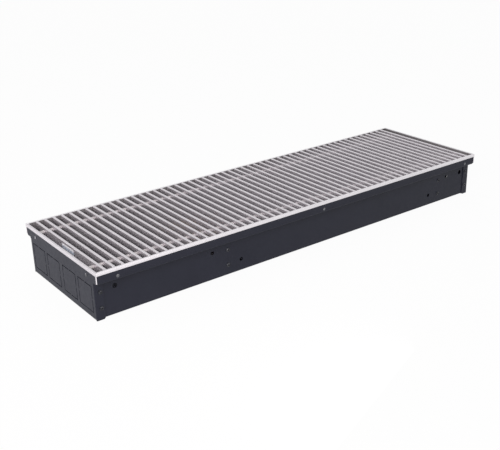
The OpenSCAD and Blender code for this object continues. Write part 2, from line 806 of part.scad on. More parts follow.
// Closed caps on the rods' ends, outside the first and last bars
rod_cap_l = rod_cap_out + first_bar - bar_w / 2;
module rod_caps() color(fin_aluminium)
    both_ends() for (y = [-rod_y, rod_y])
        translate([-rod_cap_out, y, rod_z]) face_x() difference() {
            cylinder(d = spacer_d, h = rod_cap_l);
            translate([0, 0, rod_cap_wall]) cylinder(r = rod_hole_r, h = rod_cap_l);
        }

// Blank label on the left face of the first bar
module blank_label() color(label_white)
    translate([first_bar - bar_w / 2 - label_t, -label_l / 2, overall_height - label_drop - label_h])
        cube([label_t, label_l, label_h]);

// Nuts on the trough floor that carry the levelling screws
module levelling_nuts() color(zinc)
    for (x_side = [-1, 1], y_side = [-1, 1])
        at_level(x_side, y_side) translate([0, 0, floor_top]) difference() {
            hex_prism(level_nut_af, level_nut_h);
            translate([0, 0, -cut]) cylinder(r = level_hole_r, h = level_nut_h + 2 * cut);
        }

// Levelling screw with a socket in its top, standing on its pad
module levelling_screw() translate([0, 0, pad_top]) difference() {
    cylinder(r = level_r, h = level_l);
    translate([0, 0, level_l - level_socket_l]) hex_prism(level_socket_af, level_socket_l + cut);
}
module levelling_screw_front_left() color(zinc) at_level(-1, -1) levelling_screw();
module levelling_screw_front_right() color(zinc) at_level(1, -1) levelling_screw();
module levelling_screw_back_left() color(zinc) at_level(-1, 1) levelling_screw();
module levelling_screw_back_right() color(zinc) at_level(1, 1) levelling_screw();

// Levelling pad between the trough floor and the surface below
module levelling_pad() translate([0, 0, pad_low]) cylinder(d = pad_d, h = pad_top - pad_low);
module levelling_pad_front_left() color(rubber) at_level(-1, -1) levelling_pad();
module levelling_pad_front_right() color(rubber) at_level(1, -1) levelling_pad();
module levelling_pad_back_left() color(rubber) at_level(-1, 1) levelling_pad();
module levelling_pad_back_right() color(rubber) at_level(1, 1) levelling_pad();

trough_bottom();
trough_front();
trough_back();
end_cap_left();
end_cap_right();
frame_front();
frame_back();
frame_left();
frame_right();
corner_keys();
frame_screws();
cap_screws();
cap_nuts();
bracket_left();
bracket_right();
bracket_screws();
bracket_nuts();
fin_pack();
coil_tubes();
return_bends_right();
return_bend_left();
supply_fitting();
return_fitting();
air_vent_body();
air_vent_screw();
rubber_strip_front();
rubber_strip_back();
grille_bars();
grille_spacers();
grille_rods();
rod_caps();
blank_label();
levelling_nuts();
levelling_screw_front_left();
levelling_screw_front_right();
levelling_screw_back_left();
levelling_screw_back_right();
levelling_pad_front_left();
levelling_pad_front_right();
levelling_pad_back_left();
levelling_pad_back_right();
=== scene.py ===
"""Looks of a trench convector heater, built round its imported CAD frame.

Every length is in metres in the part's own frame: X along the trough, Y across it, Z up.
"""

import logging
import math
from collections.abc import Callable, Sequence
from dataclasses import dataclass
from enum import Enum

import bmesh
import bpy
from mathutils import Matrix, Vector


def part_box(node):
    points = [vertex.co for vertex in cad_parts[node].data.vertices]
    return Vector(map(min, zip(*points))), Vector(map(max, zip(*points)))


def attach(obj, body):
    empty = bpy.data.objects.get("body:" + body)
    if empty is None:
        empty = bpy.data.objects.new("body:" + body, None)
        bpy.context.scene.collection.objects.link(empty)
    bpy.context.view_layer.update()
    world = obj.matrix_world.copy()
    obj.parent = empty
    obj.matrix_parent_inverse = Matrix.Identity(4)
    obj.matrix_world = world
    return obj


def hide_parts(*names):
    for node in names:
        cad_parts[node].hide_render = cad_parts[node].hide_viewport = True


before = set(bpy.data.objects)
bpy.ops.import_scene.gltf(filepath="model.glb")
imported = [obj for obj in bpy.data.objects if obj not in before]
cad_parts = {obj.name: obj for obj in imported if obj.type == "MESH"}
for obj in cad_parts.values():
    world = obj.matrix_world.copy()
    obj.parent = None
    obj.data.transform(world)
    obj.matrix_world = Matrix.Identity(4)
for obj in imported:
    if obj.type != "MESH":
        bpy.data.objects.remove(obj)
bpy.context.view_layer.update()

MM = 0.001
TURN = 2 * math.pi
SAME_POINT = 0.001 * MM
CHAMFER = math.radians(30)
LOG = logging.getLogger("trench_heater")

Point = tuple[float, float]
Spot = tuple[float, float, float]
Colour = tuple[float, float, float]
Section = Callable[[float], list[Point]]


class Run(Enum):
    """Direction in which a metal was drawn, as stretch factors of its streaks."""

    ALONG = (0.02, 1.0, 1.0)
    ACROSS = (1.0, 0.02, 1.0)
    EVEN = (1.0, 1.0, 1.0)


class Body(Enum):
    """Bodies of the heater that pieces ride on."""

    HEATER = "heater"
    GRILLE = "grille"
    VENT = "air_vent"


class Slot(Enum):
    """Material slots of the record."""

    STEEL = "black_steel"
    FRAME = "frame_aluminium"
    BAR = "bar_aluminium"
    ZINC = "zinc"
    SCREW = "dark_screw"
    FIN = "fin_aluminium"
    COPPER = "copper"
    BRASS = "brass"
    RUBBER = "rubber"
    LABEL = "label"


class Crease(Enum):
    """Angles in degrees above which an edge stays sharp."""

    HEXAGON = 25.0
    MACHINED = 30.0
    PLAIN = 35.0
    CUT = 40.0
    TUBE = 50.0


# Outlines and sections


def rounded(corners: Sequence[Spot], steps: int = 4) -> list[Point]:
    """Round the corners of a closed outline.

    Args:
        corners: Corner points, each with the radius of its rounding.
        steps: Straight steps round one corner.

    Returns:
        The outline's points, in the same turning direction.
    """
    outline: list[Point] = []
    count = len(corners)
    for index, (x, y, radius) in enumerate(corners):
        here = Vector((x, y))
        before = (Vector(corners[index - 1][:2]) - here).normalized()
        after = (Vector(corners[(index + 1) % count][:2]) - here).normalized()
        half = before.angle(after) / 2
        reach = radius / math.tan(half)
        centre = here + (before + after).normalized() * (radius / math.sin(half))
        start, end = here + before * reach - centre, here + after * reach - centre
        sweep = start.angle_signed(end)
        for step in range(steps + 1):
            spot = centre + Matrix.Rotation(-sweep * step / steps, 2) @ start
            outline.append((spot.x, spot.y))
    return outline


def block(width: float, height: float, radius: float) -> list[Point]:
    """Outline of a rectangle about the origin, with round corners.

    Args:
        width: Size along the first axis.
        height: Size along the second axis.
        radius: Radius of the corners.

    Returns:
        The outline's points.
    """
    w, h = width / 2, height / 2
    corners = [(-w, -h, radius), (w, -h, radius), (w, h, radius), (-w, h, radius)]
    return rounded(corners, steps=3)


def inset(outline: Sequence[Point], depth: float, least: float = 0.4) -> list[Point]:
    """Shrink an outline that runs anticlockwise.

    Args:
        outline: Closed outline.
        depth: Distance from the old sides to the new ones.
        least: Smallest number that a corner's step is divided by, which limits sharp corners.

    Returns:
        As many points as the outline has.
    """
    moved: list[Point] = []
    count = len(outline)
    for index, spot in enumerate(outline):
        here = Vector(spot)
        first = here - Vector(outline[index - 1])
        second = Vector(outline[(index + 1) % count]) - here
        first = first.normalized() if first.length else second.normalized()
        second = second.normalized() if second.length else first
        inward = Vector((-first.y - second.y, first.x + second.x)).normalized()
        share = max(least, inward.dot(Vector((-first.y, first.x))))
        moved.append(tuple(here + inward * (depth / share)))
    return moved


def even(points: list[Point]) -> Section:
    """Section that is the same at every angle."""
    return lambda _angle: points


def hexagon(across: float, angle: float) -> float:
    """Radius at an angle of a hexagon with flats at +Y and -Y, from its size across them."""
    return across / 2 / math.cos(angle % (TURN / 6) - TURN / 12)


def chamfered(across: float, angle: float, share: float) -> Spot:
    """Radii of a hexagon whose ends are chamfered.

    Args:
        across: Distance across the flats.
        angle: Direction of the radius.
        share: Radius of the flat end as a share of half the distance across.

    Returns:
        The hexagon's radius, the flat end's radius, and the chamfer's height.
    """
    side, flat = hexagon(across, angle), across / 2 * share
    return side, flat, max(0.0, side - flat) * math.tan(CHAMFER)


def thread(start: float, end: float, root: float, crest: float, pitch: float) -> Section:
    """Section of a screw thread, cut as a helix.

    Args:
        start: Lower end.
        end: Upper end.
        root: Radius at the bottom of the groove.
        crest: Radius at the top of the ridge.
        pitch: Distance from ridge to ridge.

    Returns:
        A section that gives the thread's points at one angle.
    """
    rows_a_pitch, flank, land, fade_rows = 8, 1.6, 0.3, 2
    rows = max(rows_a_pitch, round(abs(end - start) / pitch * rows_a_pitch))

    def at_angle(angle: float) -> list[Point]:
        """Points of the thread at one angle.

        Args:
            angle: Direction of the section round the axis.

        Returns:
            The points, each a radius and a height.
        """
        points = []
        for row in range(rows + 1):
            z = start + (end - start) * row / rows
            phase = (z / pitch - angle / TURN) % 1.0
            ridge = min(1.0, max(0.0, flank * (1 - abs(2 * phase - 1)) - land))
            fade = min(1.0, row / fade_rows, (rows - row) / fade_rows)
            points.append((root + (crest - root) * ridge * fade, z))
        return points

    return at_angle


# Pieces


class Sketch:
    """Vertices and faces of one piece in the making."""

    def __init__(self) -> None:
        """Start with nothing drawn."""
        self.points: list[Vector] = []
        self.faces: list[tuple[int, ...]] = []

    def _keep(self, points: Sequence[Sequence[float]], place: Matrix) -> int:
        """Store local points at a place and give the number of the first one."""
        self.points.extend(place @ Vector(p) for p in points)
        return len(self.points) - len(points)

    def turned(self, section: Section, steps: int, place: Matrix, ring: bool = False) -> None:
        """Turn a section about the local Z axis.

        Args:
            section: Gives the (radius, height) points at an angle.
            steps: Number of sections round the axis.
            place: Where the local axes stand.
            ring: Whether the section's last point joins its first.
        """
        rows = []
        for step in range(steps):
            angle = TURN * step / steps
            rows.append([(r * math.cos(angle), r * math.sin(angle), z) for r, z in section(angle)])
        count = len(rows[0])
        first = self._keep([p for row in rows for p in row], place)
        for step in range(steps):
            here, there = first + step * count, first + (step + 1) % steps * count
            for k in range(count if ring else count - 1):
                n = (k + 1) % count
                self.faces.append((here + k, there + k, there + n, here + n))

    def skinned(self, rings: Sequence[Sequence[Sequence[float]]], place: Matrix) -> None:
        """Skin closed rings that follow each other, and close both ends.

        Args:
            rings: Rings with as many points each.
            place: Where the local axes stand.
        """
        count = len(rings[0])
        first = self._keep([p for one in rings for p in one], place)
        for row in range(len(rings) - 1):
            here = first + row * count
            for k in range(count):
                n = (k + 1) % count
                self.faces.append((here + k, here + n, here + count + n, here + count + k))
        self.faces.append(tuple(first + k for k in reversed(range(count))))
        last = first + (len(rings) - 1) * count
        self.faces.append(tuple(last + k for k in range(count)))

    def bar(self, outline: Sequence[Point], length: float, chamfer: float, place: Matrix) -> None:
        """Draw a straight bar along local X with chamfered ends, centred.

        Args:
            outline: Section in local Y and Z, anticlockwise.
            length: Length over the ends.
            chamfer: Size of the chamfers at the ends.
            place: Where the local axes stand.
        """
        half = length / 2
        small = inset(outline, chamfer)
        rings = [(-half, small), (-half + chamfer, outline), (half - chamfer, outline), (half, small)]
        self.skinned([[(x, y, z) for y, z in ring] for x, ring in rings], place)

    def bend(self, radius: float, size: Callable[[float], float], steps: int, place: Matrix) -> None:
        """Draw half a turn of tube in the local X-Y plane, open towards -X.

        Args:
            radius: Bend radius of the tube's middle line.
            size: Gives the tube's radius at a share of the bend.
            steps: Steps along the bend.
            place: Where the local axes stand.
        """
        sides = 36
        rings = []
        for step in range(steps + 1):
            turn = math.pi * (step / steps - 0.5)
            out = Vector((math.cos(turn), math.sin(turn), 0))
            tube = size(step / steps)
            rings.append([
                out * (radius + tube * math.cos(TURN * s / sides))
                + Vector((0, 0, tube * math.sin(TURN * s / sides)))
                for s in range(sides)
            ])
        self.skinned(rings, place)

    def solid(self, name: str, finish: bpy.types.Material, slot: Slot,
              crease: Crease = Crease.PLAIN, weld: bool = True) -> bpy.types.Object:
        """Turn the sketch into an object.

        Args:
            name: Name of the object.
            finish: Its material.
            slot: Material slot of the record; not used.
            crease: Angle above which an edge stays sharp.
            weld: Whether doubled points are joined and the faces turned outwards. An open ring
                is drawn with its faces outwards and goes without.

        Returns:
            The new object.
        """
        mesh = bpy.data.meshes.new(name)
        mesh.from_pydata([tuple(p) for p in self.points], [], self.faces)
        if weld:
            work = bmesh.new()
            work.from_mesh(mesh)
            bmesh.ops.remove_doubles(work, verts=work.verts, dist=SAME_POINT)
            bmesh.ops.recalc_face_normals(work, faces=work.faces)
            work.to_mesh(mesh)
            work.free()
        mesh.shade_smooth()
        mesh.set_sharp_from_angle(angle=math.radians(crease.value))
        mesh.materials.append(finish)
        made = bpy.data.objects.new(name, mesh)
        bpy.context.scene.collection.objects.link(made)
        LOG.info("%s: %d faces in %s", name, len(mesh.polygons), finish.name)
        return made

    def piece(self, name: str, finish: bpy.types.Material, slot: Slot, stands_for: str,
              crease: Crease = Crease.PLAIN, body: str = Body.HEATER.value) -> bpy.types.Object:
        """Turn the sketch into a piece that rides on a body.

        Args:
            name: Name of the piece.
            finish: Its material.
            slot: Material slot of the record; not used.
            stands_for: CAD node that it replaces.
            crease: Angle above which an edge stays sharp.
            body: Body that it rides on.

        Returns:
            The new object.
        """
        made = self.solid(name, finish, slot, crease)
        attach(made, body)
        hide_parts(stands_for)
        LOG.info("%s: rides on %s for %s", name, body, stands_for)
        return made


def dress(nodes: Sequence[str], finish: bpy.types.Material, edge: float = 0.0) -> None:
    """Give CAD nodes a finish, and soften their edges.

    Args:
        nodes: Names of the nodes.
        finish: Their material.
        edge: Width of the soft edge, or 0 to leave the edges.
    """
    sharp = math.radians(50)
    for name in nodes:
        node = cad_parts[name]
        for place in node.material_slots:
            place.material = finish
        if edge:
            weld = node.modifiers.new("weld", "WELD")
            weld.merge_threshold = SAME_POINT
            soft = node.modifiers.new("soft_edge", "BEVEL")
            soft.width, soft.segments = edge, 2
            soft.limit_method, soft.angle_limit = "ANGLE", sharp
            soft.use_clamp_overlap = True
            soft.harden_normals = True
        LOG.info("%s: dressed in %s", name, finish.name)


def at(x: float, y: float, z: float, towards: str = "Z") -> Matrix:
    """Local axes at a place, with local Z turned towards an axis of the part.

    Args:
        x: Place along X.
        y: Place along Y.
        z: Place along Z.
        towards: Signed axis name, such as "Z", "-X" or "Y".

    Returns:
        The placing matrix.
    """
    quarter = math.pi / 2
    turns = {"Z": (0, "X"), "X": (quarter, "Y"), "-X": (-quarter, "Y"), "Y": (-quarter, "X"),
             "-Y": (quarter, "X")}
    angle, axis = turns[towards]
    return Matrix.Translation((x, y, z)) @ Matrix.Rotation(angle, 4, axis)


# Materials


class Board:
    """Node tree of a material or of the world."""

    def __init__(self, owner: bpy.types.Material | bpy.types.World) -> None:
        """Start with an empty node tree.

        Args:
            owner: Material or world that the tree belongs to.
        """
        owner.use_nodes = True
        self.owner = owner
        self.tree = owner.node_tree
        self.tree.nodes.clear()

    def add(self, kind: str, feeds: dict[str | int, object] | None = None,
            **settings: object) -> bpy.types.Node:
        """Add a node.

        Args:
            kind: Blender's name of the node type.
            feeds: Socket to link from, or fixed value, for each input that is set.
            **settings: Properties of the node.

        Returns:
            The node.
        """
        node = self.tree.nodes.new(kind)
        for key, value in settings.items():
            setattr(node, key, value)
        for key, feed in (feeds or {}).items():
            if isinstance(feed, bpy.types.NodeSocket):
                self.tree.links.new(feed, node.inputs[key])
            else:
                node.inputs[key].default_value = feed
        return node

    def reckon(self, operation: str, first: object, second: object) -> bpy.types.NodeSocket:
        """Add a node that reckons with two numbers.

        Args:
            operation: Blender's name of the operation.
            first: First number, or the socket that gives it.
            second: Second number, or the socket that gives it.

        Returns:
            The result.
        """
        return self.add("ShaderNodeMath", {0: first, 1: second}, operation=operation).outputs[0]

    def seen(self) -> bpy.types.NodeSocket:
        """Add a value that is 1 for camera, glossy and transmission rays.

        Returns:
            The value.
        """
        path = self.add("ShaderNodeLightPath").outputs
        straight = self.reckon("MAXIMUM", path["Is Camera Ray"], path["Is Glossy Ray"])
        return self.reckon("MAXIMUM", straight, path["Is Transmission Ray"])


class FinishBoard(Board):
    """Node tree of one finish, in the part's own coordinates."""

    def __init__(self, name: str) -> None:
        """Start a material of a given name."""
        super().__init__(bpy.data.materials.new(name))
        self.place = self.add("ShaderNodeTexCoord").outputs["Object"]

    def noise(self, size: float, stretch: Spot = (1, 1, 1), detail: float = 2.0,
              rough: float = 0.5) -> bpy.types.NodeSocket:
        """Cloudy noise between 0 and 1.

        Args:
            size: Size of its largest features.
            stretch: Scale of the coordinates along X, Y and Z.
            detail: Number of finer layers.
            rough: Weight of the finer layers.

        Returns:
            The noise value.
        """
        drawn = self.add("ShaderNodeMapping", {"Vector": self.place, "Scale": stretch})
        return self.add("ShaderNodeTexNoise", {
            "Vector": drawn.outputs["Vector"], "Scale": 1 / size, "Detail": detail,
            "Roughness": rough,
        }).outputs["Fac"]

    def ramp(self, value: bpy.types.NodeSocket, low: float, high: float,
             span: Point = (0.3, 0.7)) -> bpy.types.NodeSocket:
        """Map a value to a range.

        Args:
            value: Value to map.
            low: Result at the low end of the span.
            high: Result at the high end of the span.
            span: Part of the value's range that is used.

        Returns:
            The mapped value.
        """
        return self.add("ShaderNodeMapRange", {
            "Value": value, "From Min": span[0], "From Max": span[1], "To Min": low, "To Max": high,
        }).outputs["Result"]

    def blend(self, share: bpy.types.NodeSocket, first: Colour,
              second: Colour) -> bpy.types.NodeSocket:
        """Mix two colours.

        Args:
            share: Share of the second colour.
            first: First colour.
            second: Second colour.

        Returns:
            The mixed colour.
        """
        feeds = {"Factor": share, 6: (*first, 1), 7: (*second, 1)}
        return self.add("ShaderNodeMix", feeds, data_type="RGBA").outputs[2]

    def dent(self, height: bpy.types.NodeSocket, depth: float,
             over: bpy.types.NodeSocket | None = None) -> bpy.types.NodeSocket:
        """Bump from a height.

        Args:
            height: Height between 0 and 1.
            depth: Depth of the bump.
            over: Another bump that this one lies on.

        Returns:
            The bumped normal.
        """
        feeds = {"Distance": depth, "Strength": 1.0, "Height": height}
        if over is not None:
            feeds["Normal"] = over
        return self.add("ShaderNodeBump", feeds).outputs["Normal"]

    def surface(self, colour: bpy.types.NodeSocket, rough: bpy.types.NodeSocket,
                normal: bpy.types.NodeSocket, **fixed: float) -> bpy.types.Material:
        """Finish the shader.

        Args:
            colour: Base colour.
            rough: Roughness.
            normal: Bumped normal.
            **fixed: Values set on the shader's own sockets, with _ for a space.

        Returns:
            The material.
        """
        feeds = {key.replace("_", " "): value for key, value in fixed.items()}
        feeds |= {"Base Color": colour, "Roughness": rough, "Normal": normal}
        shader = self.add("ShaderNodeBsdfPrincipled", feeds)
        self.add("ShaderNodeOutputMaterial", {"Surface": shader.outputs["BSDF"]})
        return self.owner


@dataclass(frozen=True)
class PowderCoat:
    """Satin anthracite powder coat on sheet steel, with orange peel and fine specks."""

    name: str = "anthracite_powder_coat"
    deep: Colour = (0.0130, 0.0144, 0.0240)
    pale: Colour = (0.0158, 0.0172, 0.0282)
    smooth: Point = (0.44, 0.52)
    index: float = 1.5
    shine: float = 0.21
    cloud: float = 60 * MM
    haze: float = 9 * MM
    peel: float = 1.3 * MM
    peel_depth: float = 0.012 * MM
    speck: float = 0.35 * MM
    speck_depth: float = 0.003 * MM

    def make(self) -> bpy.types.Material:
        """Build the material.

        Returns:
            The material.
        """
        board = FinishBoard(self.name)
        tone = board.ramp(board.noise(self.cloud, detail=3), 0, 1)
        rough = board.ramp(board.noise(self.haze, detail=3), *self.smooth)
        peel = board.dent(board.noise(self.peel, detail=1), self.peel_depth)
        normal = board.dent(board.noise(self.speck, detail=1), self.speck_depth, peel)
        return board.surface(board.blend(tone, self.deep, self.pale), rough, normal,
                             IOR=self.index, Specular_IOR_Level=self.shine)


@dataclass(frozen=True)
class Anodised:
    """Satin anodised aluminium with fine lines from drawing."""

    name: str
    run: Run
    dull: Colour = (0.72, 0.70, 0.725)
    bright: Colour = (0.79, 0.77, 0.795)
    metal: float = 0.6
    smooth: Point = (0.36, 0.46)
    line: float = 0.5 * MM
    line_depth: float = 0.002 * MM
    line_share: float = 0.6
    cloud: float = 35 * MM
    grain: float = 0.25 * MM
    grain_depth: float = 0.0012 * MM

    def make(self) -> bpy.types.Material:
        """Build the material.

        Returns:
            The material.
        """
        board = FinishBoard(self.name)
        lines = board.noise(self.line, self.run.value, detail=3, rough=0.6)
        cloud = board.noise(self.cloud, detail=3)
        tone = board.reckon("ADD", board.ramp(lines, 0, self.line_share),
                            board.ramp(cloud, 0, 1 - self.line_share))
        rough = board.ramp(lines, *self.smooth)
        grain = board.dent(board.noise(self.grain, detail=1), self.grain_depth)
        return board.surface(board.blend(tone, self.dull, self.bright), rough,
                             board.dent(lines, self.line_depth, grain), Metallic=self.metal)


@dataclass(frozen=True)
class ZincPlate:
    """Zinc on steel, with soft crystals of unlike grey and sheen."""

    name: str
    grey: Colour = (0.50, 0.51, 0.53)
    pale: Colour = (0.66, 0.67, 0.69)
    crystal: float = 5 * MM
    smooth: Point = (0.30, 0.45)
    metal: float = 0.95
    grain: float = 0.6 * MM
    grain_depth: float = 0.002 * MM

    def make(self) -> bpy.types.Material:
        """Build the material.

        Returns:
            The material.
        """
        board = FinishBoard(self.name)
        cells = board.add("ShaderNodeTexVoronoi", {"Vector": board.place, "Scale": 1 / self.crystal})
        split = board.add("ShaderNodeSeparateColor", {0: cells.outputs["Color"]})
        tone = board.ramp(split.outputs[0], 0, 1, (0, 1))
        rough = board.ramp(split.outputs[1], *self.smooth, (0, 1))
        normal = board.dent(board.noise(self.grain), self.grain_depth)
        return board.surface(board.blend(tone, self.grey, self.pale), rough, normal,
                             Metallic=self.metal)


@dataclass(frozen=True)
class BareMetal:
    """Plain worked metal with tarnish and machining lines."""

    name: str
    fresh: Colour
    aged: Colour
    run: Run = Run.EVEN
    smooth: Point = (0.25, 0.42)
    metal: float = 1.0
    patch: float = 14 * MM
    span: Point = (0.4, 0.75)
    line: float = 0.4 * MM
    line_depth: float = 0.002 * MM

    def make(self) -> bpy.types.Material:
        """Build the material.

        Returns:
            The material.
        """
        board = FinishBoard(self.name)
        patches = board.noise(self.patch, detail=5, rough=0.6)
        lines = board.noise(self.line, self.run.value)
        colour = board.blend(board.ramp(patches, 0, 1, self.span), self.fresh, self.aged)
        return board.surface(colour, board.ramp(patches, *self.smooth),
                             board.dent(lines, self.line_depth), Metallic=self.metal)


@dataclass(frozen=True)
class Blackened:
    """Blackened steel of the wall screws, worn bright in places."""

    name: str = "blackened_screw"
    dark: Colour = (0.020, 0.020, 0.024)
    worn: Colour = (0.190, 0.196, 0.220)
    smooth: Point = (0.11, 0.17)
    metal: float = 0.9
    patch: float = 1.2 * MM
    patch_depth: float = 0.002 * MM
    span: Point = (0.5, 0.7)

    def make(self) -> bpy.types.Material:
        """Build the material.

        Returns:
            The material.
        """
        board = FinishBoard(self.name)
        patches = board.noise(self.patch, detail=4, rough=0.6)
        colour = board.blend(board.ramp(patches, 0, 1, self.span), self.dark, self.worn)
        return board.surface(colour, board.ramp(patches, *self.smooth),
                             board.dent(patches, self.patch_depth), Metallic=self.metal)


@dataclass(frozen=True)
class Rubber:
    """Matte black rubber."""

    name: str = "black_rubber"
    dark: Colour = (0.016, 0.016, 0.016)
    dusty: Colour = (0.03, 0.03, 0.029)
    smooth: Point = (0.62, 0.78)
    index: float = 1.52
    haze: float = 8 * MM
    grain: float = 0.5 * MM
    grain_depth: float = 0.02 * MM

    def make(self) -> bpy.types.Material:
        """Build the material.

        Returns:
            The material.
        """
        board = FinishBoard(self.name)
        grain = board.noise(self.grain, detail=4, rough=0.6)
        rough = board.ramp(board.noise(self.haze, detail=3), *self.smooth)
        return board.surface(board.blend(board.ramp(grain, 0, 1), self.dark, self.dusty), rough,
                             board.dent(grain, self.grain_depth), IOR=self.index)


@dataclass(frozen=True)
class LabelFilm:
    """Glossy white film with a pale blue band and nothing written on it."""

    name: str = "blank_label_film"
    white: Colour = (0.93, 0.94, 0.96)
    blue: Colour = (0.66, 0.74, 0.86)
    band_middle: float = 88.5 * MM
    band_reach: float = 2.9 * MM
    band_blur: float = 0.1 * MM
    smooth: Point = (0.28, 0.38)
    index: float = 1.46
    mottle: float = 3 * MM
    mottle_depth: float = 0.01 * MM

    def make(self) -> bpy.types.Material:
        """Build the material.

        Returns:
            The material.
        """
        board = FinishBoard(self.name)
        height = board.add("ShaderNodeSeparateXYZ", {0: board.place}).outputs["Z"]
        off = board.reckon("SUBTRACT", height, self.band_middle)
        far = board.add("ShaderNodeMath", {0: off}, operation="ABSOLUTE").outputs[0]
        edge = (self.band_reach - self.band_blur, self.band_reach + self.band_blur)
        colour = board.blend(board.ramp(far, 1, 0, edge), self.white, self.blue)
        mottle = board.noise(self.mottle, detail=3)
        return board.surface(colour, board.ramp(mottle, *self.smooth),
                             board.dent(mottle, self.mottle_depth), IOR=self.index)


# Sub-assemblies


@dataclass
class Enclosure:
    """Folded trough and its two end caps."""

    sheets: tuple[str, ...] = ("trough_bottom", "trough_front", "trough_back", "end_cap_left",
                               "end_cap_right")
    edge: float = 0.08 * MM

    def build(self) -> None:
        """Dress the trough and the caps in powder coat."""
        dress(self.sheets, PowderCoat().make(), self.edge)


@dataclass
class EdgeFrame:
    """Mitred aluminium frame, its corner keys and its screws."""

    half_length: float = 500 * MM
    half_width: float = 147 * MM
    top: float = 100 * MM
    steel_top: float = 93.8 * MM
    foot_top: float = 79.2 * MM
    foot_low: float = 77.2 * MM
    head: float = 4.5 * MM
    rebate: float = 2.7 * MM
    reach: float = 15.4 * MM
    joint_gap: float = 0.05 * MM
    joint_chamfer: float = 0.18 * MM
    joint_run: float = 0.252 * MM
    post: float = 1.6 * MM
    post_inset: float = 0.3 * MM
    post_edge: float = 0.12 * MM
    lip: float = 145.5 * MM
    lip_gap: float = 3.7 * MM
    ear_gap: float = 4.0 * MM
    cap_face: float = 498.8 * MM
    screw_height: float = 83.0 * MM
    screw_places: tuple[float, ...] = (-457 * MM, 27 * MM, 468 * MM)
    cap_screw_y: float = 107 * MM
    screw_head: float = 3.2 * MM
    screw_rise: float = 1.1 * MM
    screw_seat: float = -0.2 * MM
    cross: float = 0.45 * MM
    cross_reach: float = 1.75 * MM
    cross_depth: float = 0.85 * MM
    cross_slope: float = 0.22 * MM
    seat_share: float = 0.92
    shank: float = 1.5 * MM
    shank_root: float = 1.2 * MM
    shank_pitch: float = 0.5 * MM
    shank_length: float = 2.9 * MM
    head_sides: int = 64
    shank_sides: int = 20
    first_twist: float = 0.3
    twist_step: float = 0.7

    def section(self) -> list[Point]:
        """Section of the frame.

        Returns:
            Its points, each a distance in from the outer side and a height.
        """
        corners = ((0, self.steel_top, 0.15), (self.rebate, self.steel_top, 0.15),
                   (self.rebate, self.foot_low, 0.8), (self.reach, self.foot_low, 0.2),
                   (self.reach, self.foot_top, 0.3), (self.head, self.foot_top, 0.4),
                   (self.head, self.top, 0.45), (0, self.top, 0.45))
        return rounded([(inward, height, radius * MM) for inward, height, radius in corners])

    def rail(self, name: str, turn: int, finish: bpy.types.Material,
             inside: bpy.types.Material) -> None:
        """Build one mitred length of the frame.

        Args:
            name: CAD node that it stands for.
            turn: Quarter turns from the front.
            finish: Its material.
            inside: Darker copy of the finish for the leg that faces the grille; its darkness is
                painted shade.
        """
        length, across = self.half_length, self.half_width
        if turn % 2:
            length, across = across, length
        outline = self.section()
        small = inset(outline, self.joint_chamfer)
        rings = []
        for side, ring, gap in ((-1, small, self.joint_gap), (-1, outline, self.joint_run),
                                (1, outline, self.joint_run), (1, small, self.joint_gap)):
            rings.append([(side * (length - d - gap), d - across, z) for d, z in ring])
        sketch = Sketch()
        place = Matrix.Rotation(turn * math.pi / 2, 4, "Z")
        sketch.skinned(rings, place)
        mesh = sketch.piece(name + "_rail", finish, Slot.FRAME, name).data
        mesh.materials.append(inside)
        inward = place.to_3x3() @ Vector((0, 1, 0))
        facing = 0.9
        # Faces turned to the grille take the darker copy: painted shade on the frame's inner leg.
        for face in mesh.polygons:
            if face.normal.dot(inward) > facing and face.center.dot(inward) < 0:
                face.material_index = 1

    def corners(self, finish: bpy.types.Material) -> None:
        """Build the bright corner posts and the dark wings that close in on them.

        Args:
            finish: Material of the posts.
        """
        low, high = self.post_inset, self.post_inset + self.post
        lip, ear = self.half_width - self.lip, self.half_length - self.cap_face
        soft = self.post_edge
        post = rounded([(low, low, 3 * soft), (high, low, soft), (high, high, soft),
                        (low, high, soft)])
        wing = [(high, lip), (self.lip_gap, lip), (self.lip_gap, self.rebate),
                (self.rebate, self.rebate), (self.rebate, self.ear_gap), (ear, self.ear_gap),
                (ear, high), (high, high)]
        posts, wings = Sketch(), Sketch()
        for end in (-1, 1):
            for side in (-1, 1):
                for sketch, outline in ((posts, post), (wings, wing)):
                    rings = [[(end * (self.half_length - x), side * (self.half_width - y), z)
                              for x, y in outline] for z in (self.foot_top, self.steel_top)]
                    sketch.skinned(rings, Matrix.Identity(4))
        posts.piece("corner_posts", finish, Slot.FRAME, "corner_keys", Crease.CUT)
        wings.piece("corner_wings", PowderCoat("anthracite_corner").make(), Slot.STEEL,
                    "corner_keys", Crease.CUT)

    def pan_head(self, angle: float) -> list[Point]:
        """Section of a pan head with a cross recess, its seat at height 0.

        Args:
            angle: Direction of the section round the axis.

        Returns:
            Its points, each a radius and a height.
        """
        points = [(0.0, self.screw_seat), (self.screw_head * self.seat_share, self.screw_seat),
                  (self.screw_head, 0.0), (self.screw_head, 0.25 * self.screw_rise)]
        steps, dome, drop, taper = 15, 0.985, 0.55, 0.25
        for step in range(steps, -1, -1):
            radius = self.screw_head * dome * step / steps
            height = self.screw_rise * (1 - drop * (radius / self.screw_head) ** 4)
            x, y = abs(radius * math.cos(angle)), abs(radius * math.sin(angle))
            side = (self.cross - min(x, y)) / self.cross_slope
            end = (self.cross_reach - max(x, y)) / self.cross_slope
            sunk = max(0.0, min(1.0, side, end)) * (self.cross_depth - taper * max(x, y))
            points.append((radius, height - sunk))
        return points

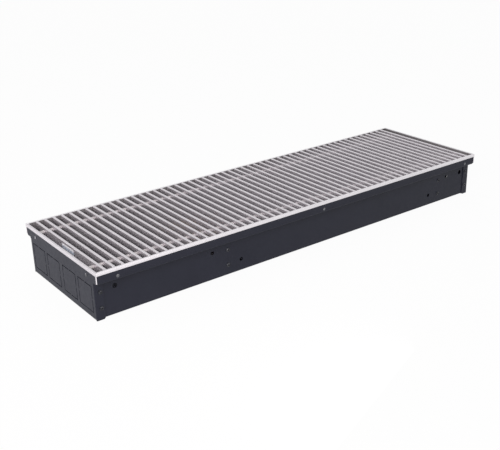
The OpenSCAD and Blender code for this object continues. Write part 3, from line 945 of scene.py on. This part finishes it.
    def screws(self) -> None:
        """Set the pan head screws along both sides and in both caps."""
        shank = thread(-self.shank_length, 0.0, self.shank_root, self.shank, self.shank_pitch)
        places = [at(x, side * self.lip, self.screw_height, "Y" if side > 0 else "-Y")
                  for side in (-1, 1) for x in self.screw_places]
        places += [at(end * self.cap_face, side * self.cap_screw_y, self.screw_height,
                      "X" if end > 0 else "-X") for end in (-1, 1) for side in (-1, 1)]
        sketch = Sketch()
        for number, place in enumerate(places):
            twist = place @ Matrix.Rotation(self.first_twist + self.twist_step * number, 4, "Z")
            sketch.turned(self.pan_head, self.head_sides, twist)
            sketch.turned(shank, self.shank_sides, twist)
        finish = ZincPlate("bright_zinc_screw", (0.09, 0.092, 0.10), (0.21, 0.214, 0.226), 0.8 * MM,
                           (0.12, 0.20)).make()
        sketch.piece("frame_pan_screws", finish, Slot.ZINC, "frame_screws")

    def build(self) -> None:
        """Build the four lengths, the corners between them and the screws."""
        along = Anodised("anodised_frame_long", Run.ALONG).make()
        # The short lengths take a darker copy of the same anodised finish: painted shade.
        across = Anodised("painted_shade_frame_short", Run.ACROSS, (0.58, 0.56, 0.59),
                          (0.65, 0.63, 0.66)).make()
        # Darker copy of the anodised finish for the inner leg: painted shade, not a finish of its
        # own.
        inside = Anodised("painted_shade_frame_leg", Run.EVEN, (0.17, 0.16, 0.165), (0.21, 0.20, 0.205),
                          0.3, (0.5, 0.6)).make()
        self.rail("frame_front", 0, along, inside)
        self.rail("frame_back", 2, along, inside)
        self.rail("frame_right", 1, across, inside)
        self.rail("frame_left", 3, across, inside)
        self.corners(along)
        self.screws()


@dataclass
class WallFixings:
    """Button head screws and nuts in the trough walls."""

    heights: tuple[float, ...] = (23 * MM, 55 * MM)
    cap_x: tuple[float, ...] = (-487.5 * MM, 487.5 * MM)
    bracket_x: tuple[float, ...] = (-209.5 * MM, 395 * MM)
    flap: float = 132.5 * MM
    wall: float = 131 * MM
    inside: float = 129.8 * MM
    tab: float = 1.5 * MM
    head: float = 4.2 * MM
    rise: float = 2.2 * MM
    dome: float = 6.3 * MM
    rim: float = 1.75 * MM
    socket: float = 2.5 * MM
    socket_floor: float = 0.8 * MM
    shank: float = 2.0 * MM
    root: float = 1.65 * MM
    pitch: float = 0.7 * MM
    reach: float = 6.9 * MM
    nut_across: float = 7 * MM
    nut_rise: float = 3.2 * MM
    nut_soft: float = 0.3 * MM
    flat_share: float = 0.98
    clear: float = 0.03 * MM
    sides: int = 48
    shank_sides: int = 20
    first_twist: float = 0.4
    twist_step: float = 0.9
    twist_rise: float = 7.0

    def button(self, angle: float) -> list[Point]:
        """Section of a button head with a hexagonal socket, its seat at height 0.

        Args:
            angle: Direction of the section round the axis.

        Returns:
            Its points, each a radius and a height.
        """
        key, low, rise = hexagon(self.socket, angle), self.socket_floor, self.rise
        points = [(0.0, low - 0.25 * MM), (key * 0.8, low), (key, low), (key, rise - 0.25 * MM),
                  (key + 0.15 * MM, rise - 0.02 * MM), (self.rim, rise)]
        steps = 7
        for step in range(1, steps + 1):
            radius = self.rim + (self.head - 0.05 * MM - self.rim) * step / steps
            points.append((radius, rise - self.dome + math.sqrt(self.dome**2 - radius**2)))
        return points + [(self.head, 0.35 * MM), (self.head, 0.12 * MM),
                         (self.head - 0.12 * MM, 0.0), (0.0, 0.0)]

    def nut(self, angle: float) -> list[Point]:
        """Section of a chamfered hexagon nut standing on height 0, as a ring.

        Args:
            angle: Direction of the section round the axis.

        Returns:
            Its points, each a radius and a height.
        """
        side, flat, cut = chamfered(self.nut_across, angle, self.flat_share)
        bore, top, soft = self.shank + self.clear, self.nut_rise, self.nut_soft
        return [(bore + soft, 0.0), (flat, 0.0), (side, cut), (side, top - cut), (flat, top),
                (bore + soft, top), (bore, top - soft), (bore, soft)]

    def fix(self, kind: str, along: Sequence[float], seat: float, inner: float,
            finishes: Sequence[bpy.types.Material]) -> None:
        """Set one kind of screws with their nuts, two at each place and side.

        Args:
            kind: What they hold, as in the names of the CAD nodes.
            along: Places along X.
            seat: Distance of the heads' seats from the middle.
            inner: Distance of the nuts' seats from the middle.
            finishes: Finish of the screws, and of the nuts.
        """
        screws, nuts = Sketch(), Sketch()
        shank = thread(-self.reach, 0.0, self.root, self.shank, self.pitch)
        for number, x in enumerate(along):
            for side, out, back in ((-1, "-Y", "Y"), (1, "Y", "-Y")):
                for height in self.heights:
                    angle = self.first_twist + self.twist_step * number + self.twist_rise * height
                    place = at(x, side * seat, height, out)
                    screws.turned(self.button, self.sides, place @ Matrix.Rotation(angle, 4, "Z"))
                    screws.turned(shank, self.shank_sides, place)
                    nuts.turned(self.nut, self.sides, at(x, side * inner, height, back), ring=True)
        screws.piece(kind + "_button_screws", finishes[0], Slot.SCREW, kind + "_screws",
                     Crease.MACHINED)
        nuts.piece(kind + "_hexagon_nuts", finishes[1], Slot.ZINC, kind + "_nuts",
                   Crease.HEXAGON)

    def build(self) -> None:
        """Set the screws and nuts of the caps and of the brackets."""
        finishes = Blackened().make(), ZincPlate("zinc_nut", crystal=1.5 * MM).make()
        self.fix("cap", self.cap_x, self.flap, self.inside, finishes)
        self.fix("bracket", self.bracket_x, self.wall, self.inside - self.tab, finishes)


@dataclass
class Coil:
    """Finned water coil: brackets, fins, copper tubes and bends."""

    fins: int = 72
    first_fin: float = -191.5 * MM
    pitch: float = 8 * MM
    sheet: float = 0.3 * MM
    width: float = 130 * MM
    low: float = 8 * MM
    high: float = 58 * MM
    waves: int = 13
    wave: float = 0.9 * MM
    calm: float = 5 * MM
    collar_room: float = 9.5 * MM
    rows: tuple[float, ...] = (20.5 * MM, 45.5 * MM)
    column: float = 32.5 * MM
    tube: float = 7.5 * MM
    tube_wall: float = 0.8 * MM
    flare: float = 0.7 * MM
    squeeze: float = 0.15 * MM
    left: float = -216 * MM
    left_high: float = -266 * MM
    right: float = 401.5 * MM
    bracket_edge: float = 0.15 * MM
    steps_a_wave: int = 8
    collar_sides: int = 20
    tube_sides: int = 40
    solder_sides: int = 36
    small_bend_steps: int = 28
    wide_bend_steps: int = 48

    def fin(self, x: float) -> list[Point]:
        """Outline of one rippled fin seen from above, calm at its ends and collars.

        Args:
            x: Place of the fin along X.

        Returns:
            The outline's points.
        """
        front: list[Point] = []
        back: list[Point] = []
        steps = self.steps_a_wave * self.waves
        for step in range(steps + 1):
            y = self.width * (step / steps - 0.5)
            calm = min(1.0, (self.width / 2 - abs(y)) / self.calm)
            for column in (-self.column, self.column):
                calm *= min(1.0, max(0.0, (abs(y - column) - self.collar_room) / self.calm))
            shift = self.wave * calm * math.sin(TURN * self.waves * step / steps)
            front.append((x + shift, y))
            back.append((x + shift + self.sheet, y))
        return front + back[::-1]

    def fin_pack(self) -> None:
        """Build the rippled fins and the flared collars between them."""
        sketch = Sketch()
        collar = even([(self.tube + out * MM, along * MM) for out, along in (
            (2.2, 0.3), (1.3, 0.7), (0.65, 1.6), (0.5, 7.3), (0.9, 7.9))])
        for number in range(self.fins):
            x = self.first_fin + number * self.pitch
            rings = [[(px, py, z) for px, py in self.fin(x)] for z in (self.low, self.high)]
            sketch.skinned(rings, Matrix.Identity(4))
            if number == self.fins - 1:
                continue
            for column in (-self.column, self.column):
                for row in self.rows:
                    sketch.turned(collar, self.collar_sides, at(x, column, row, "X"))
        finish = BareMetal("mill_aluminium_fin", (0.70, 0.71, 0.73), (0.56, 0.57, 0.60), Run.ACROSS,
                           (0.28, 0.42)).make()
        sketch.piece("rippled_fins", finish, Slot.FIN, "fin_pack", Crease.CUT)

    def straight(self, length: float, flared: bool) -> Section:
        """Section of one straight tube, as a ring.

        Args:
            length: Length of the tube.
            flared: Whether its left end is flared as its right end is.

        Returns:
            The section, from the tube's left end.
        """
        wide, bore = self.tube + self.flare, self.tube - self.tube_wall
        near = wide if flared else self.tube
        return even([
            (near, 0.0), (near, 8 * MM), (self.tube, 10 * MM), (self.tube, length - 11 * MM),
            (wide, length - 9 * MM), (wide, length), (bore, length), (bore, 0.0),
        ])

    def tubes(self, finish: bpy.types.Material) -> None:
        """Build the straight tubes, the upper ones longer at the left.

        Args:
            finish: Their material.
        """
        sketch = Sketch()
        for column in (-self.column, self.column):
            for row, start in zip(self.rows, (self.left, self.left_high)):
                section = self.straight(self.right - start, row == self.rows[0])
                sketch.turned(section, self.tube_sides, at(start, column, row, "X"), ring=True)
        sketch.piece("copper_tubes", finish, Slot.COPPER, "coil_tubes", Crease.TUBE)

    def bent(self, share: float) -> float:
        """Outer radius along a bend, slightly drawn in at its middle."""
        return self.tube - self.squeeze * math.sin(math.pi * share)

    def bends(self, finish: bpy.types.Material) -> None:
        """Build the return bends with solder fillets at their ends.

        Args:
            finish: Their material.
        """
        solder = even([(self.tube + out * MM, along * MM) for out, along in (
            (0.72, -0.4), (0.7, 0.1), (0.35, 0.7), (0.08, 1.5), (-0.2, 1.8))])
        middle = sum(self.rows) / 2
        span = (self.rows[1] - self.rows[0]) / 2
        right, left = Sketch(), Sketch()
        for column in (-self.column, self.column):
            upright = at(self.right, column, middle) @ Matrix.Rotation(math.pi / 2, 4, "X")
            right.bend(span, self.bent, self.small_bend_steps, upright)
            for row in self.rows:
                right.turned(solder, self.solder_sides, at(self.right, column, row, "X"))
        right.piece("copper_bends_right", finish, Slot.COPPER, "return_bends_right", Crease.TUBE)
        level = at(self.left, 0, self.rows[0]) @ Matrix.Rotation(math.pi, 4, "Z")
        left.bend(self.column, self.bent, self.wide_bend_steps, level)
        for column in (-self.column, self.column):
            left.turned(solder, self.solder_sides, at(self.left, column, self.rows[0], "-X"))
        left.piece("copper_bend_left", finish, Slot.COPPER, "return_bend_left", Crease.TUBE)

    def build(self) -> None:
        """Build the coil."""
        galvanised = ZincPlate("galvanised_bracket", crystal=9 * MM).make()
        dress(("bracket_left", "bracket_right"), galvanised, self.bracket_edge)
        self.fin_pack()
        copper = BareMetal("bare_copper", (0.84, 0.47, 0.33), (0.45, 0.20, 0.12), Run.ALONG,
                           (0.22, 0.45)).make()
        self.tubes(copper)
        self.bends(copper)


@dataclass
class PipeConnections:
    """Brass pipe fittings and the air vent in the return fitting."""

    left: float = -294 * MM
    length: float = 36 * MM
    across: float = 27 * MM
    hexagon_length: float = 28 * MM
    height: float = 45.5 * MM
    column: float = 32.5 * MM
    bore: float = 9.3 * MM
    bore_depth: float = 14 * MM
    waterway: float = 6 * MM
    neck: float = 12.5 * MM
    tube_seat: float = 7.75 * MM
    tube_depth: float = 8 * MM
    flat_share: float = 0.985
    pipe_thread_start: float = 1.2 * MM
    pipe_thread_depth: float = 0.9 * MM
    pipe_thread_pitch: float = 1.8 * MM
    vent_x: float = -273 * MM
    vent_across: float = 12 * MM
    vent_rise: float = 4 * MM
    vent_top: float = 8 * MM
    vent_bore: float = 2.1 * MM
    nose: float = 4.5 * MM
    key: float = 5 * MM
    key_rise: float = 4 * MM
    key_soft: float = 0.4 * MM
    key_corner: float = 0.35 * MM
    stem: float = 2.0 * MM
    stem_root: float = 1.7 * MM
    stem_pitch: float = 0.6 * MM
    stem_low: float = -1.4 * MM
    fitting_sides: int = 72
    solder_sides: int = 40
    vent_sides: int = 48
    stem_sides: int = 24

    def fitting(self, angle: float) -> list[Point]:
        """Section of a fitting from its pipe end, as a ring.

        Args:
            angle: Direction of the section round the axis.

        Returns:
            Its points, each a radius and a height.
        """
        side, flat, cut = chamfered(self.across, angle, self.flat_share)
        inner = thread(self.pipe_thread_start, self.bore_depth, self.bore,
                       self.bore + self.pipe_thread_depth, self.pipe_thread_pitch)(angle)
        end, length, neck, seat = self.hexagon_length, self.length, self.neck, self.tube_seat
        outer = [
            (self.bore + 1.3 * MM, 0.0), (flat, 0.0), (side, cut), (side, end - cut), (flat, end),
            (neck + 0.3 * MM, end), (neck, end + 0.3 * MM), (neck, length - 1 * MM),
            (neck - 0.8 * MM, length), (seat, length), (seat, length - self.tube_depth + 0.2 * MM),
            (self.waterway, length - self.tube_depth), (self.waterway, self.bore_depth + 1 * MM),
            (self.bore, self.bore_depth + 0.2 * MM),
        ]
        return outer + inner[::-1]

    def vent_body(self, angle: float) -> list[Point]:
        """Section of the vent's body, as a ring.

        Args:
            angle: Direction of the section round the axis.

        Returns:
            Its points, each a radius and a height.
        """
        side, flat, cut = chamfered(self.vent_across, angle, self.flat_share)
        rise, top, bore = self.vent_rise, self.vent_top, self.vent_bore
        return [
            (4.2 * MM, -0.2 * MM), (flat, 0.0), (side, cut), (side, rise - cut), (flat, rise),
            (self.nose, rise + 0.2 * MM), (self.nose, top - 0.5 * MM), (self.nose - 0.5 * MM, top),
            (bore + 0.2 * MM, top), (bore, top - 0.4 * MM), (bore, 0.2 * MM),
        ]

    def fittings(self, brass: bpy.types.Material) -> None:
        """Build both fittings, each with a ring of solder round its tube.

        Args:
            brass: Material of the fittings.
        """
        solder = BareMetal("tin_solder", (0.66, 0.66, 0.66), (0.50, 0.50, 0.51)).make()
        bead = even([(10.2 * MM, -0.3 * MM), (9.2 * MM, 0.4 * MM), (8.1 * MM, 1.1 * MM),
                     (7.55 * MM, 2.2 * MM), (7.3 * MM, 2.4 * MM)])
        for name, y in (("supply_fitting", -self.column), ("return_fitting", self.column)):
            sketch, ring = Sketch(), Sketch()
            start, end = self.left, self.left + self.length
            sketch.turned(self.fitting, self.fitting_sides, at(start, y, self.height, "X"), ring=True)
            made = sketch.piece(name + "_brass", brass, Slot.BRASS, name, Crease.MACHINED)
            ring.turned(bead, self.solder_sides, at(end, y, self.height, "X"))
            ring.solid(name + "_solder_ring", solder, Slot.ZINC, weld=False).parent = made

    def vent(self, brass: bpy.types.Material) -> None:
        """Build the air vent's body and its screw with a square head.

        Args:
            brass: Their material.
        """
        seat = at(self.vent_x, self.column + self.across / 2, self.height, "Y")
        body, screw = Sketch(), Sketch()
        body.turned(self.vent_body, self.vent_sides, seat, ring=True)
        body.piece("vent_body_brass", brass, Slot.BRASS, "air_vent_body", Crease.MACHINED)
        stem = thread(self.stem_low, self.vent_top + 0.6 * MM, self.stem_root, self.stem,
                      self.stem_pitch)
        screw.turned(stem, self.stem_sides, seat)
        low, soft = self.vent_top + 0.3 * MM, self.key_soft
        high = low + self.key_rise
        square = block(self.key, self.key, self.key_corner)
        small = inset(square, soft)
        rings = [(low, small), (low + soft, square), (high - soft, square), (high, small)]
        screw.skinned([[(x, y, z) for x, y in ring] for z, ring in rings], seat)
        screw.piece("vent_key_screw", brass, Slot.BRASS, "air_vent_screw", Crease.MACHINED,
                    Body.VENT.value)

    def build(self) -> None:
        """Build both fittings, the vent and its screw."""
        brass = BareMetal("machined_brass", (0.80, 0.62, 0.33), (0.56, 0.40, 0.19), Run.EVEN,
                          (0.20, 0.34)).make()
        self.fittings(brass)
        self.vent(brass)


@dataclass
class RollGrille:
    """Grille of cross bars on two rods, with spacers, caps, strips and a blank label."""

    bars: int = 54
    pitch: float = 18.04 * MM
    width: float = 5.5 * MM
    rise: float = 18 * MM
    top: float = 100 * MM
    half: float = 141.7 * MM
    bar_chamfer: float = 0.25 * MM
    rod_y: float = 102.5 * MM
    rod_z: float = 91 * MM
    rod: float = 1.55 * MM
    spacer: float = 3.8 * MM
    spacer_soft: float = 0.35 * MM
    cap_out: float = 494.5 * MM
    strip_half: float = 484.6 * MM
    strip_in: float = 133.7 * MM
    strip_out: float = 141.7 * MM
    strip_low: float = 79.2 * MM
    strip_top: float = 82 * MM
    strip_soft: float = 0.1 * MM
    ribs: int = 4
    rib_depth: float = 0.8 * MM
    label_corner: float = 0.8 * MM
    label_soft: float = 0.04 * MM
    sides: int = 32

    def place(self, number: int) -> float:
        """Place of a bar along X."""
        return (number - (self.bars - 1) / 2) * self.pitch

    def bar_set(self) -> None:
        """Build the bars, with soft top edges and sawn, lightly broken ends."""
        half, low = self.width / 2, self.top - self.rise
        outline = rounded([(-half, low, 0.3 * MM), (half, low, 0.3 * MM),
                           (half, self.top, 0.6 * MM), (-half, self.top, 0.6 * MM)])
        sketch = Sketch()
        quarter = Matrix.Rotation(math.pi / 2, 4, "Z")
        mirrored = [(-y, z) for y, z in reversed(outline)]
        for number in range(self.bars):
            sketch.bar(mirrored, 2 * self.half, self.bar_chamfer,
                       Matrix.Translation((self.place(number), 0, 0)) @ quarter)
        finish = Anodised("anodised_bar", Run.ACROSS, (0.59, 0.563, 0.592), (0.67, 0.643, 0.672),
                          0.76, (0.32, 0.42)).make()
        sketch.piece("cross_bars", finish, Slot.BAR, "grille_bars", Crease.CUT, Body.GRILLE.value)

    def spacer_set(self) -> None:
        """Build the spacers between the bars and the domed caps on the rods' ends."""
        finish = BareMetal("mill_aluminium_spacer", (0.60, 0.57, 0.57), (0.49, 0.46, 0.46),
                           Run.ALONG, (0.44, 0.56), 0.35).make()
        wide, soft, rod = self.spacer, self.spacer_soft, self.rod
        length = self.pitch - self.width
        tube = even([(rod, 0.0), (wide - soft, 0.0), (wide, soft), (wide, length - soft),
                     (wide - soft, length), (rod, length)])
        spacers, caps = Sketch(), Sketch()
        for number in range(self.bars - 1):
            for side in (-1, 1):
                start = self.place(number) + self.width / 2
                spacers.turned(tube, self.sides, at(start, side * self.rod_y, self.rod_z, "X"),
                               ring=True)
        spacers.piece("spacer_tubes", finish, Slot.FIN, "grille_spacers", Crease.MACHINED,
                      Body.GRILLE.value)
        reach = self.cap_out - abs(self.place(0)) - self.width / 2
        cap = even([(0.0, 0.0), (wide - 1.2 * MM, 0.12 * MM), (wide - 0.4 * MM, 0.5 * MM),
                    (wide, 1.3 * MM), (wide, reach - soft), (wide - soft, reach), (rod, reach)])
        for end, way in ((-1, "X"), (1, "-X")):
            for side in (-1, 1):
                place = at(end * self.cap_out, side * self.rod_y, self.rod_z, way)
                caps.turned(cap, self.sides, place)
        caps.piece("domed_rod_caps", finish, Slot.FIN, "rod_caps", Crease.MACHINED,
                   Body.GRILLE.value)

    def strips(self) -> None:
        """Build the ribbed rubber strips under the bar ends."""
        finish = Rubber().make()
        wide, rise = self.strip_out - self.strip_in, self.strip_top - self.strip_low
        low = rise - self.rib_depth
        corners = [(0.0, 0.0, 0.2 * MM), (wide, 0.0, 0.2 * MM)]
        for number in range(self.ribs, 0, -1):
            right, left = wide * number / self.ribs, wide * (number - 1) / self.ribs
            corners += [(right - 0.15 * MM, rise, 0.25 * MM), (left + 0.85 * MM, rise, 0.25 * MM)]
            if number > 1:
                corners += [(left + 0.55 * MM, low, 0.12 * MM), (left + 0.15 * MM, low, 0.12 * MM)]
        outline = rounded(corners, steps=2)
        for name, side in (("rubber_strip_front", -1), ("rubber_strip_back", 1)):
            placed = [(side * (self.strip_out - y), self.strip_low + z) for y, z in outline]
            if side < 0:
                placed = placed[::-1]
            sketch = Sketch()
            sketch.bar(placed, 2 * self.strip_half, self.strip_soft, Matrix.Identity(4))
            sketch.piece(name + "_ribbed", finish, Slot.RUBBER, name, Crease.CUT)

    def label(self) -> None:
        """Build the blank label on the first bar."""
        low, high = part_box("blank_label")
        outline = block(high.y - low.y, high.z - low.z, self.label_corner)
        sketch = Sketch()
        sketch.bar(outline, high.x - low.x, self.label_soft, Matrix.Translation((low + high) / 2))
        sketch.piece("rounded_blank_label", LabelFilm().make(), Slot.LABEL, "blank_label",
                     Crease.CUT, Body.GRILLE.value)

    def build(self) -> None:
        """Build the grille and what it lies on."""
        self.bar_set()
        self.spacer_set()
        dress(["grille_rods"], ZincPlate("zinc_rod", crystal=2 * MM).make())
        self.strips()
        self.label()


@dataclass
class LevellingFeet:
    """Levelling screws with real threads, their nuts and pads."""

    x: float = 440 * MM
    y: float = 115 * MM
    radius: float = 4 * MM
    root: float = 3.35 * MM
    pitch: float = 1.25 * MM
    low: float = 1.35 * MM
    length: float = 45 * MM
    socket: float = 4 * MM
    socket_depth: float = 4 * MM
    floor: float = 2.7 * MM
    nut_across: float = 13 * MM
    nut_rise: float = 6.5 * MM
    clear: float = 0.03 * MM
    pad: float = 10 * MM
    pad_low: float = 0.15 * MM
    scallops: int = 24
    scallop: float = 0.25 * MM
    flat_share: float = 0.98
    plain_end: float = 1 * MM
    screw_sides: int = 36
    pad_sides: int = 96
    nut_sides: int = 48

    def screw(self, angle: float) -> list[Point]:
        """Section of a levelling screw from its lower end to the bottom of its socket.

        Args:
            angle: Direction of the section round the axis.

        Returns:
            Its points, each a radius and a height.
        """
        top = self.low + self.length
        key, deep = hexagon(self.socket, angle), top - self.socket_depth
        body = thread(self.low + self.plain_end, top - self.plain_end, self.root, self.radius,
                      self.pitch)(angle)
        return ([(0.0, self.low), (self.root - 0.6 * MM, self.low)] + body
                + [(self.root - 0.3 * MM, top), (key + 0.25 * MM, top), (key, top - 0.3 * MM),
                   (key, deep), (key * 0.6, deep - 0.1 * MM), (0.0, deep - 0.6 * MM)])

    def nut(self, angle: float) -> list[Point]:
        """Section of a levelling nut, as a ring.

        Args:
            angle: Direction of the section round the axis.

        Returns:
            Its points, each a radius and a height.
        """
        side, flat, cut = chamfered(self.nut_across, angle, self.flat_share)
        bore, low, top = self.radius + self.clear, self.floor, self.floor + self.nut_rise
        return [(bore + 0.4 * MM, low), (flat, low), (side, low + cut), (side, top - cut),
                (flat, top), (bore + 0.5 * MM, top), (bore, top - 0.5 * MM), (bore, low + 0.4 * MM)]

    def foot(self, angle: float) -> list[Point]:
        """Section of a pad with a scalloped rim.

        Args:
            angle: Direction of the section round the axis.

        Returns:
            Its points, each a radius and a height.
        """
        rim = self.pad - self.scallop * (1 + math.cos(self.scallops * angle)) / 2
        low, high = self.pad_low, self.low
        return [(0.0, low), (rim - 0.3 * MM, low), (rim, low + 0.25 * MM), (rim, high - 0.35 * MM),
                (rim - 0.35 * MM, high), (0.0, high)]

    def build(self) -> None:
        """Build the four feet."""
        plated = ZincPlate("zinc_thread", crystal=1.2 * MM).make()
        rubber = Rubber("pad_rubber").make()
        nuts = Sketch()
        for along, x in (("left", -self.x), ("right", self.x)):
            for across, y in (("front", -self.y), ("back", self.y)):
                corner = f"{across}_{along}"
                place = at(x, y, 0)
                screw, pad = Sketch(), Sketch()
                screw.turned(self.screw, self.screw_sides, place)
                screw.piece("threaded_stud_" + corner, plated, Slot.ZINC,
                            "levelling_screw_" + corner, Crease.CUT, "foot_screw_" + corner)
                pad.turned(self.foot, self.pad_sides, place)
                pad.piece("scalloped_pad_" + corner, rubber, Slot.RUBBER,
                          "levelling_pad_" + corner, body="foot_" + corner)
                nuts.turned(self.nut, self.nut_sides, place, ring=True)
        nuts.piece("levelling_hexagon_nuts", ZincPlate("zinc_level_nut", crystal=2 * MM).make(),
                   Slot.ZINC, "levelling_nuts", Crease.HEXAGON)


@dataclass(frozen=True)
class Softbox:
    """Square soft lamp, with its place, its aim, its side and its power in watts."""

    name: str
    spot: Spot
    aim: Spot
    size: float
    power: float

    def hang(self, tint: Colour) -> None:
        """Hang the lamp.

        Args:
            tint: Colour of its light.
        """
        data = bpy.data.lights.new(self.name, "AREA")
        data.shape, data.size, data.energy, data.color = "SQUARE", self.size, self.power, tint
        lamp = bpy.data.objects.new(self.name, data)
        bpy.context.scene.collection.objects.link(lamp)
        lamp.location = self.spot
        lamp.rotation_mode = "QUATERNION"
        lamp.rotation_quaternion = (Vector(self.aim) - Vector(self.spot)).to_track_quat("-Z", "Y")


@dataclass
class Studio:
    """Floor, backdrop, lamps and camera."""

    lens: float = 61.53
    sensor: float = 36.0
    clip: Point = (0.01, 100.0)
    eye: Spot = (-1.07375, -1.36998, 0.74399)
    right: Spot = (0.79698, -0.60358, -0.02276)
    up: Spot = (0.25176, 0.29772, 0.92086)
    back: Spot = (-0.54904, -0.73963, 0.38923)
    sky: float = 0.6
    floor_half: float = 12.0
    floor_drop: float = 0.05 * MM
    floor_grey: float = 0.86
    floor_show: float = 0.95
    tint: Colour = (1.0, 0.93, 0.95)
    lamps: tuple[Softbox, ...] = (
        Softbox("left_softbox", (-2.6, -1.6, 1.6), (-0.2, 0.0, 0.05), 1.3, 66),
        Softbox("low_softbox", (-0.28, -0.60, 0.10), (-0.47, -0.13, 0.05), 0.3, 0.45),
        Softbox("end_softbox", (-1.05, 0.45, 0.16), (-0.5, 0.1, 0.05), 0.3, 1.0),
    )

    def camera(self) -> None:
        """Place the camera at the photograph's angle."""
        data = bpy.data.cameras.new("photo_camera")
        data.lens, data.sensor_width = self.lens, self.sensor
        data.clip_start, data.clip_end = self.clip
        camera = bpy.data.objects.new("photo_camera", data)
        bpy.context.scene.collection.objects.link(camera)
        turn = Matrix((self.right, self.up, self.back)).transposed().to_4x4()
        camera.matrix_world = Matrix.Translation(self.eye) @ turn
        bpy.context.scene.camera = camera

    def world(self) -> None:
        """Light the scene with an even pale sky that shows as white."""
        world = bpy.data.worlds.new("studio")
        bpy.context.scene.world = world
        board = Board(world)
        white = (1, 1, 1, 1)
        light = board.add("ShaderNodeBackground", {"Color": white, "Strength": self.sky})
        shown = board.add("ShaderNodeBackground", {"Color": white})
        mix = board.add("ShaderNodeMixShader",
                        {0: board.seen(), 1: light.outputs[0], 2: shown.outputs[0]})
        board.add("ShaderNodeOutputWorld", {"Surface": mix.outputs[0]})

    def floor(self) -> None:
        """Lay the pale floor, which keeps the heater's shadow."""
        half = self.floor_half
        mesh = bpy.data.meshes.new("studio_floor")
        corners = [(-half, -half), (half, -half), (half, half), (-half, half)]
        mesh.from_pydata([(x, y, -self.floor_drop) for x, y in corners], [], [(0, 1, 2, 3)])
        board = Board(bpy.data.materials.new("pale_floor"))
        grey = (*[self.floor_grey] * 3, 1)
        matte = board.add("ShaderNodeBsdfDiffuse", {"Color": grey})
        glow = board.add("ShaderNodeEmission")
        share = board.reckon("MULTIPLY", board.seen(), self.floor_show)
        mix = board.add("ShaderNodeMixShader", {0: share, 1: matte.outputs[0], 2: glow.outputs[0]})
        board.add("ShaderNodeOutputMaterial", {"Surface": mix.outputs[0]})
        mesh.materials.append(board.owner)
        plane = bpy.data.objects.new("studio_floor", mesh)
        bpy.context.scene.collection.objects.link(plane)

    def build(self) -> None:
        """Set up the studio."""
        self.camera()
        self.world()
        self.floor()
        for lamp in self.lamps:
            lamp.hang(self.tint)
        LOG.info("studio: camera, sky, floor and lamps are set")


def main() -> None:
    """Build every sub-assembly in order."""
    logging.basicConfig(level=logging.INFO, format="%(name)s: %(message)s")
    for assembly in (Studio(), Enclosure(), EdgeFrame(), WallFixings(), Coil(), PipeConnections(),
                     RollGrille(), LevellingFeet()):
        LOG.info("building %s", type(assembly).__name__)
        assembly.build()
    bpy.context.scene.view_settings.view_transform = "Standard"


if __name__ == "__main__":
    main()
